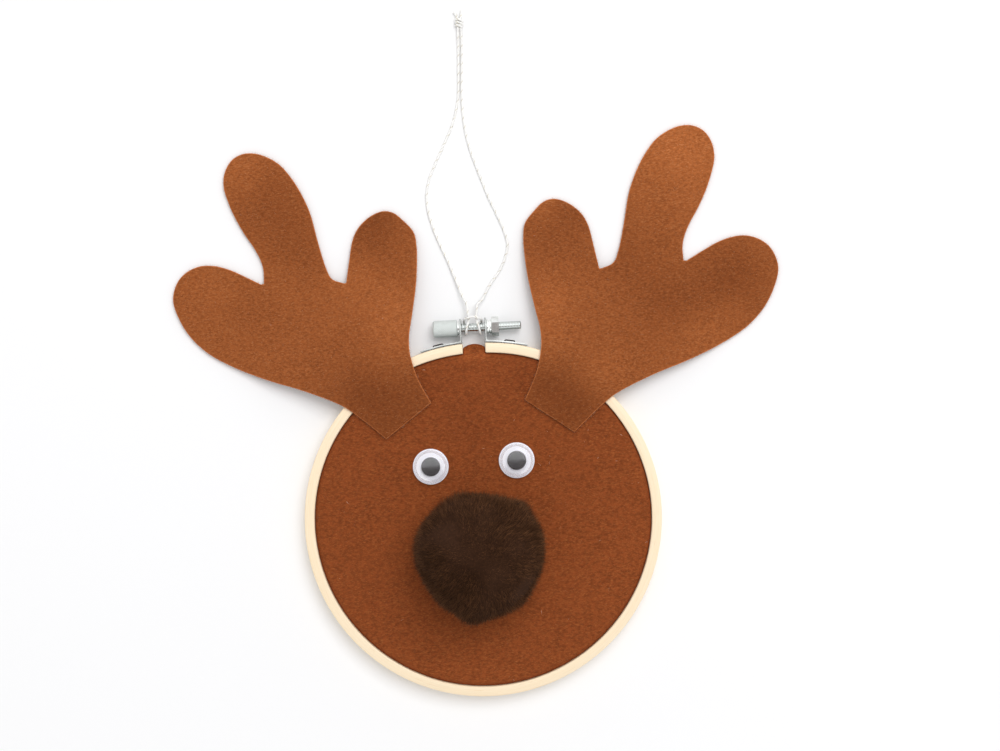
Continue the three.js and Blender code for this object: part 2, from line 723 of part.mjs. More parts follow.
// The origin goes to the middle of the ornament's footprint, the hanging cord left out
const footprint = new THREE.Box3().setFromObject(ornament);
const middle = footprint.getCenter(new THREE.Vector3());
addCord();
addPart('cord_knot', cordKnot(), paleTwine);
ornament.position.set(-middle.x, -middle.y, -footprint.min.z);
console.log(`hoop's axis at ${(-middle.x).toFixed(3)}, ${(-middle.y).toFixed(3)} mm`);
ornament.updateMatrixWorld(true);

export default ornament;
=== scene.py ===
# %% [markdown]
# # An embroidery hoop ornament
# A wooden embroidery hoop lies on its back on a white table. Brown felt is stretched in it as an animal's
# face, with felt antlers, loose-pupil eyes and a fluffy pompom for a nose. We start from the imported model,
# which is a fixed frame in metres: every piece below is built in the same place as the solid it dresses.

# %% Load the fixed frame
import math

import bmesh
import bpy
import numpy as np
from mathutils import Matrix, Vector


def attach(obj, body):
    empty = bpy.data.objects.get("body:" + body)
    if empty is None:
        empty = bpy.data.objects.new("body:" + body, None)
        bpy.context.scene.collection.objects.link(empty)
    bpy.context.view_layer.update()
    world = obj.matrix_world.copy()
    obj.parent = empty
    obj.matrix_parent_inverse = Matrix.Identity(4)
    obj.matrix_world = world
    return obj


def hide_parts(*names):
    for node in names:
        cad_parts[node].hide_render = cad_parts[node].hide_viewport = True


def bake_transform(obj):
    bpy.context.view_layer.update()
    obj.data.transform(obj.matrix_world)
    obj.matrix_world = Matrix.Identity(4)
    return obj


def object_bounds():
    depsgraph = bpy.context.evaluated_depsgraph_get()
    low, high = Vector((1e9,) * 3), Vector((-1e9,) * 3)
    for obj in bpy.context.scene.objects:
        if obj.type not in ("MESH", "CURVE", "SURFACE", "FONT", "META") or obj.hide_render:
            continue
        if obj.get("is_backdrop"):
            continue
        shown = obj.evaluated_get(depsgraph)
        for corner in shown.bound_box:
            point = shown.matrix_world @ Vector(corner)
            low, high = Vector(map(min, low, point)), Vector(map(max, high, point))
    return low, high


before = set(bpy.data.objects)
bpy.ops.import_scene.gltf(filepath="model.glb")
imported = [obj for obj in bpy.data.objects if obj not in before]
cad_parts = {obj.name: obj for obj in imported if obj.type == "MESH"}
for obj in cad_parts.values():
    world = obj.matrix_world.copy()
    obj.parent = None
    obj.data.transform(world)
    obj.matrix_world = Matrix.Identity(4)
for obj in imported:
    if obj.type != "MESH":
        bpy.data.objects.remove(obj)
cad_low, cad_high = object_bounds()

# %% [markdown]
# ## Measures and small tools
# The ornament was measured in millimetres from the middle of the hoop, so one function takes such a place
# into the frame. The hoop's middle is where the source puts it.

# %% Places
MM = 0.001
HOOP_MIDDLE = Vector((-2.3, -47.463, 0)) * MM


def place(x, y, z):
    """A point in millimetres from the hoop's middle, in the frame's metres."""
    return HOOP_MIDDLE + Vector((x, y, z)) * MM


def places(points):
    """The same for an array with a point in each row."""
    return points * MM + np.array(HOOP_MIDDLE)


def smooth_step(share):
    """Goes from 0 to 1 as the share does, with a soft start and a soft end."""
    share = np.clip(share, 0, 1)
    return share * share * (3 - 2 * share)


def unit(vectors):
    """The rows of an array, each made one long."""
    return vectors / np.linalg.norm(vectors, axis=1)[:, None]


# %% [markdown]
# Blender's nodes take linear colour, and a colour that we give is sRGB. One function turns it.
# Materials are trees of nodes, so a second small function adds a node, sets it and links it. Three more make
# a material from its name and plain values, give its shader a colour and a bump, and make a material whose
# colour and bump follow the same noise.

# %% Colours and nodes
def linear(colour):
    """An sRGB hex colour as the linear numbers that nodes take."""
    parts = [int(colour[at:at + 2], 16) / 255 for at in (1, 3, 5)]
    return (*[p / 12.92 if p <= 0.04045 else ((p + 0.055) / 1.055) ** 2.4 for p in parts], 1)


def add_node(tree, kind, links=None, **settings):
    """Adds a node. links gives each input a value or another node's output."""
    node = tree.nodes.new("ShaderNode" + kind)
    for name, value in settings.items():
        setattr(node, name, value)
    for name, value in (links or {}).items():
        if isinstance(value, bpy.types.NodeSocket):
            tree.links.new(value, node.inputs[name])
        else:
            node.inputs[name].default_value = value
    return node


def new_material(name, **values):
    """A material with one Principled shader, its plain values set on the shader's own sockets."""
    material = bpy.data.materials.new(name)
    material.use_nodes = True
    shader = material.node_tree.nodes["Principled BSDF"]
    for socket, value in values.items():
        shader.inputs[socket.replace("_", " ")].default_value = value
    print("material", name)
    return material, material.node_tree, shader


def set_surface(tree, shader, colour, height=None, strength=0, depth=0):
    """Gives the shader its colour and, if there is a height, a bump so many mm deep."""
    tree.links.new(colour, shader.inputs["Base Color"])
    if height is not None:
        bump = add_node(tree, "Bump", {"Height": height, "Strength": strength, "Distance": depth * MM})
        tree.links.new(bump.outputs[0], shader.inputs["Normal"])


def mottled(name, width, detail, dark, light, strength=0, depth=0, **values):
    """A material whose colour, and bump if it has one, follow noise with patches of a width in mm."""
    material, tree, shader = new_material(name, **values)
    where = add_node(tree, "TexCoord").outputs["Object"]
    patches = add_node(
        tree, "TexNoise", {"Vector": where, "Scale": 1 / (width * MM), "Detail": detail}).outputs["Fac"]
    tone = add_node(
        tree, "Mix", {0: patches, 6: linear(dark), 7: linear(light)}, data_type="RGBA").outputs[2]
    set_surface(tree, shader, tone, patches if strength else None, strength, depth)
    return material


# %% [markdown]
# Modelling by hand means picking faces or edges and then using a tool on them. In code we pick them by their
# place or their normal. Everything is deselected first, because a tool acts on all that is selected.
# A modifier is applied at once, so that the next tool acts on its result.

# %% Picking and shaping
SAME = 1e-6  # two places nearer than this, in metres, count as one


def deselect_all():
    if bpy.context.object and bpy.context.object.mode == "EDIT":
        bpy.ops.object.mode_set(mode="OBJECT")
    bpy.ops.object.select_all(action="DESELECT")


def take(piece):
    """Selects one piece alone and makes it the active one."""
    deselect_all()
    bpy.context.view_layer.objects.active = piece
    piece.select_set(True)


def named(name):
    """Names the primitive that was just added, and turns its placing into its mesh."""
    piece = bpy.context.object
    piece.name = piece.data.name = name
    bpy.ops.object.transform_apply(location=True, rotation=True, scale=True)
    return piece


def choose(piece, kind, rule=lambda part: True):
    """In edit mode, selects only the verts, edges or faces that a rule picks."""
    if piece.mode != "EDIT":
        take(piece)
        bpy.ops.object.mode_set(mode="EDIT")
    bpy.ops.mesh.select_mode(type={"verts": "VERT", "edges": "EDGE", "faces": "FACE"}[kind])
    bpy.ops.mesh.select_all(action="DESELECT")
    mesh = bmesh.from_edit_mesh(piece.data)
    picked = [part for part in getattr(mesh, kind) if rule(part)]
    for part in picked:
        part.select_set(True)
    mesh.select_flush_mode()
    bmesh.update_edit_mesh(piece.data)
    return len(picked)


def run_of(edge, axis):
    """How far an edge runs along one axis: 0, 1 or 2 for x, y or z."""
    return abs(edge.verts[0].co[axis] - edge.verts[1].co[axis])


def inset_faces(thickness, shift):
    """Insets the chosen faces by mm, and moves them by mm along x, y and z."""
    bpy.ops.mesh.inset(thickness=thickness * MM)
    bpy.ops.transform.translate(value=[part * MM for part in shift])


def face_outwards(piece):
    choose(piece, "faces")
    bpy.ops.mesh.normals_make_consistent(inside=False)


def apply_modifier(piece, kind, **settings):
    take(piece)
    modifier = piece.modifiers.new(kind.title(), kind)
    for name, value in settings.items():
        setattr(modifier, name, value)
    bpy.ops.object.modifier_apply(modifier=modifier.name)


def bevel_sharp(piece, width, segments, angle):
    """Rounds the edges that are sharper than an angle in degrees."""
    apply_modifier(piece, "BEVEL", width=width * MM, segments=segments, limit_method="ANGLE",
                   angle_limit=math.radians(angle))


# %% [markdown]
# Every piece is finished in the same way: its faces turn outwards, it is shaded smooth between its sharp
# edges, and it gets its material, the body that it rides on and the solids that it stands for. A piece whose
# shape is a formula starts as an array of points, and is a mesh like any other from there on.

# %% Finishing
def finish_piece(piece, body, material, replaced=(), angle=35, outward=True):
    """Turns faces outwards, shades the piece, and gives it its body, material and solids."""
    choose(piece, "faces")
    if outward:
        bpy.ops.mesh.normals_make_consistent(inside=False)
    take(piece)
    bpy.ops.object.shade_smooth_by_angle(angle=math.radians(angle))
    if material is not None:
        piece.data.materials.clear()
        piece.data.materials.append(material)
    if body:
        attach(piece, body)
    if replaced:
        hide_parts(*replaced)
    deselect_all()
    triangles = sum(len(face.vertices) - 2 for face in piece.data.polygons)
    print(piece.name, triangles, "triangles")
    return piece


def add_object(name, mesh):
    """A new piece that wears a mesh."""
    piece = bpy.data.objects.new(name, mesh)
    bpy.context.scene.collection.objects.link(piece)
    return piece


def mesh_piece(name, points, faces):
    """A new piece from points in metres and faces."""
    mesh = bpy.data.meshes.new(name)
    mesh.from_pydata([tuple(p) for p in points], [], faces)
    return add_object(name, mesh)


def points_of(piece):
    """A piece's points as an array, with one in each row."""
    return np.array([vert.co for vert in piece.data.vertices])


def move_points(piece, points):
    piece.data.vertices.foreach_set("co", points.ravel())


# %% [markdown]
# ## Camera
# The photograph looks straight down on the table from about 0.9 m, a little above the hoop's middle, with
# the ornament turned three degrees in the frame. Turning the camera instead keeps the ornament square to
# its own axes.

# %% Camera
CAMERA_PLACE = (0.00906, 0.01784, 0.9)  # metres, in the frame
CAMERA_TURN = -3                        # degrees
VIEW_WIDTH = 0.4659                     # metres of table across the picture
SENSOR = 36                             # mm
deselect_all()
bpy.ops.object.camera_add(location=CAMERA_PLACE, rotation=(0, 0, math.radians(CAMERA_TURN)))
camera = bpy.context.object
camera.data.sensor_width = SENSOR
camera.data.lens = SENSOR * CAMERA_PLACE[2] / VIEW_WIDTH
camera.data.clip_end = 20
bpy.context.scene.camera = camera
print("lens", round(camera.data.lens, 1))

# %% [markdown]
# ## Twine
# The hanging loop is thin bakers' twine: three white cotton plies with a fine gold strand, twisted together.
# It is hitched round the clamp screw and knotted at its far end. A cord is a fixed length on one smooth
# line, so we give the line's points, from the knot round the screw and back to the knot, and lay a twisted
# section along it. The photograph shows the twine from end to end, and its length is 333 mm.

# %% The twine's route
SCREW_AXIS = (0, 88.2, 4.75)
LEFT_STRAND = [
    (0.1, 226.3, 1.3), (-0.1, 219.9, 0.7), (-0.6, 208.3, 0.65), (-1.3, 196.7, 0.65), (-2.6, 189.8, 0.65),
    (-4.8, 182.9, 0.65), (-8.5, 175.2, 0.65), (-13.2, 166.1, 0.65), (-16.9, 157.9, 0.65), (-18.4, 151, 0.65),
    (-18.1, 144, 0.65), (-16.2, 135.5, 0.65), (-13.3, 127.4, 0.65), (-10, 119.3, 0.8), (-6.3, 108.8, 1.7),
    (-4, 102.5, 3), (-2.4, 98.8, 3.7),
]
HALF_HITCH = [  # from the screw's axis
    (-2.2, 7.6, -0.6), (-1.8, 5.6, -0.1), (-1.8, 3.9, 0.7), (-2.2, 2.1, 2.3), (-2.8, 0, 3),
    (-3.2, -2.1, 2.15), (-3.5, -3, -0.3), (-3.7, -1.8, -2.4), (-3.9, 0.6, -2.95), (-4, 2.7, -1.3),
    (-3.9, 3.5, 0.8), (-2.7, 4.3, 2.7), (0, 4.9, 3.3),
]
RIGHT_STRAND = [
    (2.4, 98.4, 3.7), (4.9, 101, 3.1), (8.9, 107.6, 1.7), (13.9, 114.4, 0.8), (16.5, 119.8, 0.65),
    (18, 125.8, 0.65), (16.9, 131.9, 0.65), (13.9, 140, 0.65), (10.5, 148.1, 0.65), (7.2, 157.6, 0.65),
    (4.1, 167.1, 0.65), (2.2, 174.2, 0.65), (1, 181.3, 0.65), (0.4, 189.7, 0.65), (0.4, 196.7, 0.65),
    (1, 208.3, 0.65), (1.6, 219.9, 0.7), (1.7, 226.3, 1.3),
]
hitch = HALF_HITCH + [(-x, y, z) for x, y, z in HALF_HITCH[-2::-1]]
route = LEFT_STRAND + [tuple(np.add(SCREW_AXIS, point)) for point in hitch] + RIGHT_STRAND


def stretch_along(line):
    """How far along a line each of its points lies."""
    return np.r_[0, np.cumsum(np.linalg.norm(np.diff(line, axis=0), axis=1))]


def smooth_line(points, spacing):
    """A centripetal Catmull-Rom line through the points, as points at an even spacing."""
    p = np.array(points, float)
    p = np.vstack([2 * p[0] - p[1], p, 2 * p[-1] - p[-2]])
    share = np.linspace(0, 1, 40, endpoint=False)[:, None]
    fine = []
    for at in range(1, len(p) - 2):
        before, start, end, after = p[at - 1:at + 3]
        a, b, c = (np.linalg.norm(d) ** 0.5 for d in (start - before, end - start, after - end))
        leave = ((start - before) / a - (end - before) / (a + b) + (end - start) / b) * b
        arrive = ((end - start) / b - (after - start) / (b + c) + (after - end) / c) * b
        cube, square = share ** 3, share ** 2
        fine.append((2 * cube - 3 * square + 1) * start + (cube - 2 * square + share) * leave
                    + (3 * square - 2 * cube) * end + (cube - square) * arrive)
    fine = np.vstack([*fine, p[-2:-1]])
    along = stretch_along(fine)
    stops = np.linspace(0, along[-1], round(along[-1] / spacing) + 1)
    return np.column_stack([np.interp(stops, along, fine[:, axis]) for axis in range(fine.shape[1])])


TWINE_SPACING = 0.3  # mm from one section to the next
twine_line = np.array([place(*point) for point in smooth_line(route, TWINE_SPACING)])
print("twine", round(stretch_along(twine_line)[-1], 4), "m")

# %% [markdown]
# Cotton is matt and faintly fuzzy, so it gets sheen, and a streaky bump along the thread. The gold strand is
# a narrow strip of metallised film wound with cotton: it reads as pale tan with a faint shine, and lighter
# patches along it are painted glints.

# %% Twine materials
COTTON_STREAKS = (12, 14, 1)  # in 10 mm along the thread and once round it
GOLD_PAINTED_GLINTS = (9, 5, 1)


def thread_noise(tree, times, detail):
    """Noise that follows the thread, changing so many times along it and round it."""
    thread = add_node(tree, "UVMap", uv_map="thread").outputs[0]
    stretched = add_node(tree, "Mapping", {"Vector": thread, "Scale": times}).outputs[0]
    return add_node(tree, "TexNoise", {"Vector": stretched, "Scale": 1, "Detail": detail}).outputs["Fac"]


cotton, tree, shader = new_material(
    "bleached cotton thread", Roughness=0.9, Sheen_Weight=1, Sheen_Roughness=0.3, Subsurface_Weight=0.5,
    Subsurface_Radius=(1, 1, 1), Subsurface_Scale=0.0006)
streaks = thread_noise(tree, COTTON_STREAKS, 2)
tone = add_node(
    tree, "Mix", {0: streaks, 6: linear("#fbf8f1"), 7: linear("#fffefb")}, data_type="RGBA").outputs[2]
set_surface(tree, shader, tone, streaks, 0.6, 0.1)

gold_thread, tree, shader = new_material("gold metallised thread", Roughness=0.45, Metallic=0.3)
# painted glints: lighter patches of tan along the gold strand
painted_glints = thread_noise(tree, GOLD_PAINTED_GLINTS, 3)
tone = add_node(
    tree, "Mix", {0: painted_glints, 6: linear("#b6ad94"), 7: linear("#e0d7c0")}, data_type="RGBA").outputs[2]
set_surface(tree, shader, tone)

# %% [markdown]
# A twisted cord is one section with a lobe for each ply, turned a little more at each step along the line.
# One narrow strip of faces gets the gold thread's material, so the gold winds along the white as it does.
# A UV map runs along and round the twine, so its cotton fibres can follow it.

# %% A twisted cord
PLY_GROOVE = 0.16  # how deep the groove between two plies is, as a share of the radius
UV_LENGTH = 0.01   # metres of thread for 1 on its UV map


def twisted_cord(name, line, radius, plies=3, lay=0.0042, sides=12):
    """A closed mesh tube of twisted plies along a line in metres. lay is the length of one turn of the twist.
    Material 1 is the gold strip's."""
    heading = unit(np.gradient(line, axis=0))
    side = np.zeros_like(line)
    side[0] = np.cross(heading[0], (0.1, 0.2, 1))
    side[0] /= np.linalg.norm(side[0])
    for at in range(1, len(line)):
        side[at] = side[at - 1] - side[at - 1] @ heading[at] * heading[at]
        side[at] /= np.linalg.norm(side[at])
    up = np.cross(heading, side)
    along = stretch_along(line)
    around = np.arange(sides) * 2 * math.pi / sides
    lobes = 1 - PLY_GROOVE + PLY_GROOVE * np.abs(np.cos(plies * around / 2))
    angle = around[None] + 2 * math.pi * along[:, None] / lay
    turned = np.cos(angle)[..., None] * side[:, None] + np.sin(angle)[..., None] * up[:, None]
    points = (line[:, None] + radius * lobes[None, :, None] * turned).reshape(-1, 3)
    faces, slots, corners = [], [], []
    for at in range(len(line) - 1):
        for one in range(sides):
            two = (one + 1) % sides
            faces.append((at * sides + one, at * sides + two, (at + 1) * sides + two, (at + 1) * sides + one))
            slots.append(int(one == 0))
            corners += [(at, one), (at, one + 1), (at + 1, one + 1), (at + 1, one)]
    last = (len(line) - 1) * sides
    faces += [tuple(range(sides))[::-1], tuple(range(last, last + sides))]
    piece = mesh_piece(name, points, faces)
    piece.data.materials.append(cotton)
    piece.data.materials.append(gold_thread)
    piece.data.polygons.foreach_set("material_index", slots + [0, 0])
    lengthwise = piece.data.uv_layers.new(name="thread")
    for corner, (at, one) in zip(lengthwise.data, corners):
        corner.uv = (along[at] / UV_LENGTH, one / sides)
    return piece


# %% [markdown]
# The knot that closes the loop is an overhand knot in both strands, pulled tight: seen from outside it is
# two turns wound over two strands, with two short ends sticking out.

# %% Twine and knot
TWINE_RADIUS = 0.6 * MM
KNOT = (0.9, 229.8, 1.5)
KNOT_TURNS, KNOT_LENGTH, KNOT_REACH = 2.4, 3.4, (1.55, 0.9)  # reach: sideways and upwards from its middle
KNOT_ENDS = ((-0.75, (-2.2, 5.6, -0.75)), (0.75, (1.3, 6.3, -0.8)))  # each end's side, and where its tip is
twine = twisted_cord("twine", twine_line, TWINE_RADIUS)
steps = np.linspace(0, 1, 60)
turned = KNOT_TURNS * 2 * math.pi * steps
knot_lines = [np.column_stack([
    KNOT[0] + KNOT_REACH[0] * np.cos(turned + 0.6),
    KNOT[1] + KNOT_LENGTH * (steps - 0.5) + 0.5 * np.sin(turned),
    KNOT[2] + KNOT_REACH[1] * np.sin(turned + 0.6),
])]
for across, tip in KNOT_ENDS:
    stops = [(across, -3.6, -0.2), (across * 0.8, -1.5, 0), (across * 0.8, 1.5, 0),
             (across * 1.4, 3.6, -0.5), tip]
    knot_lines.append(smooth_line([tuple(np.add(KNOT, stop)) for stop in stops], TWINE_SPACING))
knot_parts = [
    twisted_cord("knot_part", np.array([place(*p) for p in line]), TWINE_RADIUS) for line in knot_lines]
take(knot_parts[0])
for part in knot_parts:
    part.select_set(True)
bpy.ops.object.join()
knot = bpy.context.object
knot.name = knot.data.name = "twine_knot"
TWINE_SOLIDS = ("cord_left_strand", "cord_hitch", "cord_right_strand")
for piece, solids in ((twine, TWINE_SOLIDS), (knot, ("cord_knot",))):
    finish_piece(piece, "hanger", None, solids, angle=60)

# %% [markdown]
# ## Hoops
# Each hoop is a strip of bamboo, steamed and bent into a ring. The outer one is sawn open at the top. A
# ring is a rectangle spun round an axis. For the saw cuts, the closed outer ring is bisected at both sides
# of the gap, the piece between is deleted, and the two ends it leaves are filled.

# %% Rings of bamboo
# all in mm; a hoop's three numbers are its inner radius, outer radius and height
INNER_HOOP = (72.2, 76.2, 8)
OUTER_HOOP = (77.6, 82.2, 9.5)
HALF_GAP = 5.3
EDGE_ROUND = 0.6
RING_STEPS = 240  # round the whole ring


def spun_ring(name, inner, outer, height):
    """A rectangle, the wood's cross-section, spun once round the hoop's axis."""
    deselect_all()
    bpy.ops.mesh.primitive_plane_add(
        size=1, location=place((inner + outer) / 2, 0, height / 2), rotation=(math.pi / 2, 0, 0))
    bpy.context.object.scale = ((outer - inner) * MM, height * MM, 1)
    ring = named(name)
    choose(ring, "faces")
    bpy.ops.mesh.delete(type="ONLY_FACE")
    choose(ring, "edges")
    bpy.ops.mesh.spin(steps=RING_STEPS, angle=math.radians(360), center=HOOP_MIDDLE, axis=(0, 0, 1))
    choose(ring, "verts")
    bpy.ops.mesh.remove_doubles(threshold=0.01 * MM)
    return ring


def at_top(part_middle, low, high):
    """Whether a place is at the top of the hoop, with its x between two sides in mm from the middle."""
    from_middle = part_middle - HOOP_MIDDLE
    return from_middle.y > 60 * MM and low * MM < from_middle.x < high * MM


def open_end(edge, side):
    """Whether an edge is on the rim that a saw cut left on one side of the gap."""
    middle = (edge.verts[0].co + edge.verts[1].co) / 2
    return edge.is_boundary and at_top(middle, *sorted((0, side * 9)))


outer_hoop = spun_ring("outer_ring", *OUTER_HOOP)
inner_hoop = spun_ring("inner_ring", *INNER_HOOP)
for side in (-1, 1):
    choose(outer_hoop, "faces", lambda face: at_top(face.calc_center_median(), -14, 14))
    bpy.ops.mesh.bisect(plane_co=place(side * HALF_GAP, 0, 0), plane_no=(1, 0, 0))
sawn_out = choose(outer_hoop, "faces", lambda face: at_top(face.calc_center_median(), -HALF_GAP, HALF_GAP))
bpy.ops.mesh.delete(type="FACE")
for side in (-1, 1):
    choose(outer_hoop, "edges", lambda edge: open_end(edge, side))
    bpy.ops.mesh.edge_face_add()
print("faces sawn out", sawn_out)
for ring in (outer_hoop, inner_hoop):
    face_outwards(ring)
    bevel_sharp(ring, EDGE_ROUND, 3, 40)

# %% [markdown]
# The real hoop isn't a true circle. The clamp draws its sprung ends in by a good millimetre, and its right
# side stands out by half of one. One small function says by how much, and all that follows the hoop's line
# goes through it: the rings, the felt between them, the clamp's straps and their staples.

# %% The hoop's lie
ENDS_IN, RIGHT_OUT = 1.3, 0.45     # mm
ENDS_FADE = (17, 42)               # degrees to the right and to the left of the gap
RIGHT_AT, RIGHT_FADE = 85, 45      # degrees clockwise from the gap


def drawn_in(x, y):
    """How far a place in mm from the middle moves outwards along its own radius."""
    turn = np.degrees(np.arctan2(x, y))  # clockwise from the gap
    ends = ENDS_IN * np.exp(-(turn / np.where(turn > 0, *ENDS_FADE)) ** 2)
    return RIGHT_OUT * np.exp(-((turn - RIGHT_AT) / RIGHT_FADE) ** 2) - ends


def lay_like_hoop(piece, share=lambda radius: 1):
    """Moves a piece's points as the hoop lies, by a share that may depend on how far out they are."""
    where = points_of(piece)
    x, y = ((where - np.array(HOOP_MIDDLE)) / MM)[:, :2].T
    radius = np.hypot(x, y)
    factor = 1 + drawn_in(x, y) * share(radius) / radius
    where[:, 0] = HOOP_MIDDLE.x + x * factor * MM
    where[:, 1] = HOOP_MIDDLE.y + y * factor * MM
    move_points(piece, where)


lay_like_hoop(outer_hoop)
lay_like_hoop(inner_hoop)
print("ends drawn in by", round(float(-drawn_in(0, 80)), 2), "mm")

# %% [markdown]
# Bamboo is bundles of long fibres that run round the ring. A pattern on Object coordinates doesn't follow a
# bend, so the nodes turn the place into a direction, a distance from the axis and a height. The direction is
# scaled little and the other two a lot, which draws the noise out into grain. The wood is sanded and sealed,
# so it is smooth with a faint shine. The sawn ends show the bundles end-on, as dots.

# %% Bamboo
GRAIN_WIDTH = 0.45   # mm between grain lines
FLECK_WIDTH = 0.3    # mm across a fibre bundle


def bamboo_grain(tree, along, width):
    """Noise drawn out round the hoop: along is how often it changes in a radian, width in mm."""
    where = add_node(tree, "TexCoord").outputs["Object"]
    centred = add_node(tree, "VectorMath", {0: where, 1: tuple(HOOP_MIDDLE)}, operation="SUBTRACT").outputs[0]
    flat = add_node(tree, "VectorMath", {0: centred, 1: (1, 1, 0)}, operation="MULTIPLY").outputs[0]
    radius = add_node(tree, "VectorMath", {0: flat}, operation="LENGTH").outputs["Value"]
    heading = add_node(tree, "VectorMath", {0: flat}, operation="NORMALIZE").outputs[0]
    slow = add_node(tree, "VectorMath", {0: heading, "Scale": along}, operation="SCALE").outputs[0]
    across = add_node(tree, "Math", {0: radius, 1: 1 / (width * MM)}, operation="MULTIPLY").outputs[0]
    lifted = add_node(tree, "CombineXYZ", {"Z": across}).outputs[0]
    spot = add_node(tree, "VectorMath", {0: slow, 1: lifted}, operation="ADD").outputs[0]
    height = add_node(tree, "SeparateXYZ", {"Vector": where}).outputs["Z"]
    level = add_node(tree, "Math", {0: height, 1: 1 / (width * 1.4 * MM)}, operation="MULTIPLY").outputs[0]
    return add_node(tree, "TexNoise", {"Vector": spot, "W": level, "Scale": 1, "Detail": 3, "Roughness": 0.6},
                    noise_dimensions="4D").outputs["Fac"]


bamboo, tree, shader = new_material(
    "sanded and sealed bamboo", Roughness=0.42, Coat_Weight=0.15, Coat_Roughness=0.3)
grain = bamboo_grain(tree, 3, GRAIN_WIDTH)
flecks = bamboo_grain(tree, 11, FLECK_WIDTH)
flecks = add_node(
    tree, "MapRange", {"Value": flecks, "From Min": 0.6, "From Max": 0.75, "To Max": 0.55}).outputs[0]
pale = add_node(
    tree, "Mix", {0: grain, 6: linear("#f9ddb4"), 7: linear("#fff0d6")}, data_type="RGBA").outputs[2]
tone = add_node(tree, "Mix", {0: flecks, 6: pale, 7: linear("#e0bd8c")}, data_type="RGBA").outputs[2]
set_surface(tree, shader, tone, grain, 0.35, 0.06)

sawn, tree, shader = new_material("sawn bamboo end grain", Roughness=0.8)
where = add_node(tree, "TexCoord").outputs["Object"]
dots = add_node(tree, "TexVoronoi", {"Vector": where, "Scale": 1 / (0.7 * MM)}).outputs["Distance"]
dots = add_node(tree, "MapRange", {"Value": dots, "From Min": 0.15, "From Max": 0.4}).outputs[0]
tone = add_node(
    tree, "Mix", {0: dots, 6: linear("#b98a55"), 7: linear("#f0d6ae")}, data_type="RGBA").outputs[2]
set_surface(tree, shader, tone)

# %% [markdown]
# The outer ring carries the left half of the clamp on one side of its gap and the right half on the other.
# When the clamp opens, its right end moves; here the ring is given no body and stays as it is.

# %% Dress the hoops
finish_piece(outer_hoop, None, bamboo, ("outer_hoop",))
outer_hoop.data.materials.append(sawn)
for face in outer_hoop.data.polygons:
    if abs(face.normal.x) > 0.95 and (face.center - HOOP_MIDDLE).y > 60 * MM:
        face.material_index = 1
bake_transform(outer_hoop)
finish_piece(inner_hoop, "insert", bamboo, ("inner_hoop",))

# %% [markdown]
# ## Face felt
# The face is a round of craft felt, stretched over the inner hoop and folded down between the hoops. It is
# flat across the top, turns over the hoop's edge in a small radius, and ends in a cut hem at the back. Where
# the outer hoop is open, nothing presses on it, and below the face's edge it swells into the gap. A sheet
# like this is easiest as rings of points: a profile of its thickness, turned round the axis, with the swell
# and a few faint puckers added by formula.

# %% The felt's profile
FACE_TOP, FACE_UNDER = 9.2, 8.0  # mm above the table
SKIRT = (76.5, 77.56)            # its two radii: squeezed, it touches the outer hoop
HEM = 0.4                        # how high the cut hem is
SHOULDER = 2.8                   # the radius it turns over in
SWELL = 4.3                      # how far it comes out into the gap
quarter = np.linspace(0, math.pi / 2, 9)
profile = [(r, FACE_TOP) for r in np.linspace(0.5, 70, 44)]
profile += [(r, FACE_TOP) for r in (71, 72, 73, 74)]
profile += [(SKIRT[1] - SHOULDER * (1 - math.sin(a)), FACE_TOP - SHOULDER * (1 - math.cos(a)))
            for a in quarter]
profile += [(SKIRT[1], z) for z in (6.4, 6, 5.5, 5, 4.2, 3.5, 2, 0.7)]
profile += [(SKIRT[1] - 0.1, HEM + 0.05), (SKIRT[0] + 0.1, HEM + 0.05)]
profile += [(SKIRT[0], z) for z in (0.7, 3, 6)] + [(SKIRT[0], FACE_UNDER - 0.1), (SKIRT[0] - 0.4, FACE_UNDER)]
profile += [(r, FACE_UNDER) for r in np.linspace(75, 0.5, 30)]
profile = np.array(profile)

# %% [markdown]
# The columns round the ring are closer together at the gap, where the shape changes fast. Felt is never
# quite flat: the slow ripples here are a tenth of a millimetre, and come from a fixed seed.

# %% Turn the profile
GAP_COLUMNS, OTHER_COLUMNS = 35, 280
RIPPLE, PUCKER = 0.1, 0.07  # mm
dice = np.random.default_rng(12)
ripple_waves = [(dice.uniform(40, 260), dice.uniform(0, 6.3), dice.uniform(0, 6.3)) for _ in range(14)]


def ripples(x, y):
    """Slow random waves, from about -1 to 1, over places in metres."""
    return sum(np.sin(pace * (x * math.cos(turn) + y * math.sin(turn)) + shift)
               for pace, turn, shift in ripple_waves) / 5


gap_angle = math.asin(HALF_GAP / OUTER_HOOP[0])
fine = gap_angle * np.sin(np.linspace(-math.pi / 2, math.pi / 2, GAP_COLUMNS))
coarse = np.linspace(gap_angle, 2 * math.pi - gap_angle, OTHER_COLUMNS)[1:-1]
columns = np.r_[fine, coarse]
radius = np.repeat(profile[None, :, 0], len(columns), 0)
height = np.repeat(profile[None, :, 1], len(columns), 0)
angle = np.repeat(columns[:, None], len(profile), 1)
from_gap = np.abs((angle + math.pi) % (2 * math.pi) - math.pi)
below_face = smooth_step((FACE_TOP - 0.9 - height) / 2.6)
to_end = from_gap / gap_angle
mound = (1 - 0.4 * to_end ** 2) * smooth_step((1 - to_end) / 0.08)
swell = SWELL * np.where(to_end < 1, mound, 0) * smooth_step((radius - 75.4) / 1.4) * below_face
puckers = np.sin(angle * 31 + 2 * np.sin(angle * 5)) * smooth_step((radius - 62) / 12)
x = (radius + swell) * np.sin(angle)
y = (radius + swell) * np.cos(angle)
soft = RIPPLE * ripples(x * MM, y * MM) + PUCKER * puckers * (radius < 75)
height = height + np.where(height > HEM + 3, soft * (1 - smooth_step((radius - 74) / 2.5)), 0)
sheet = places(np.stack([x, y, height], axis=-1))
count, long = len(columns), len(profile)
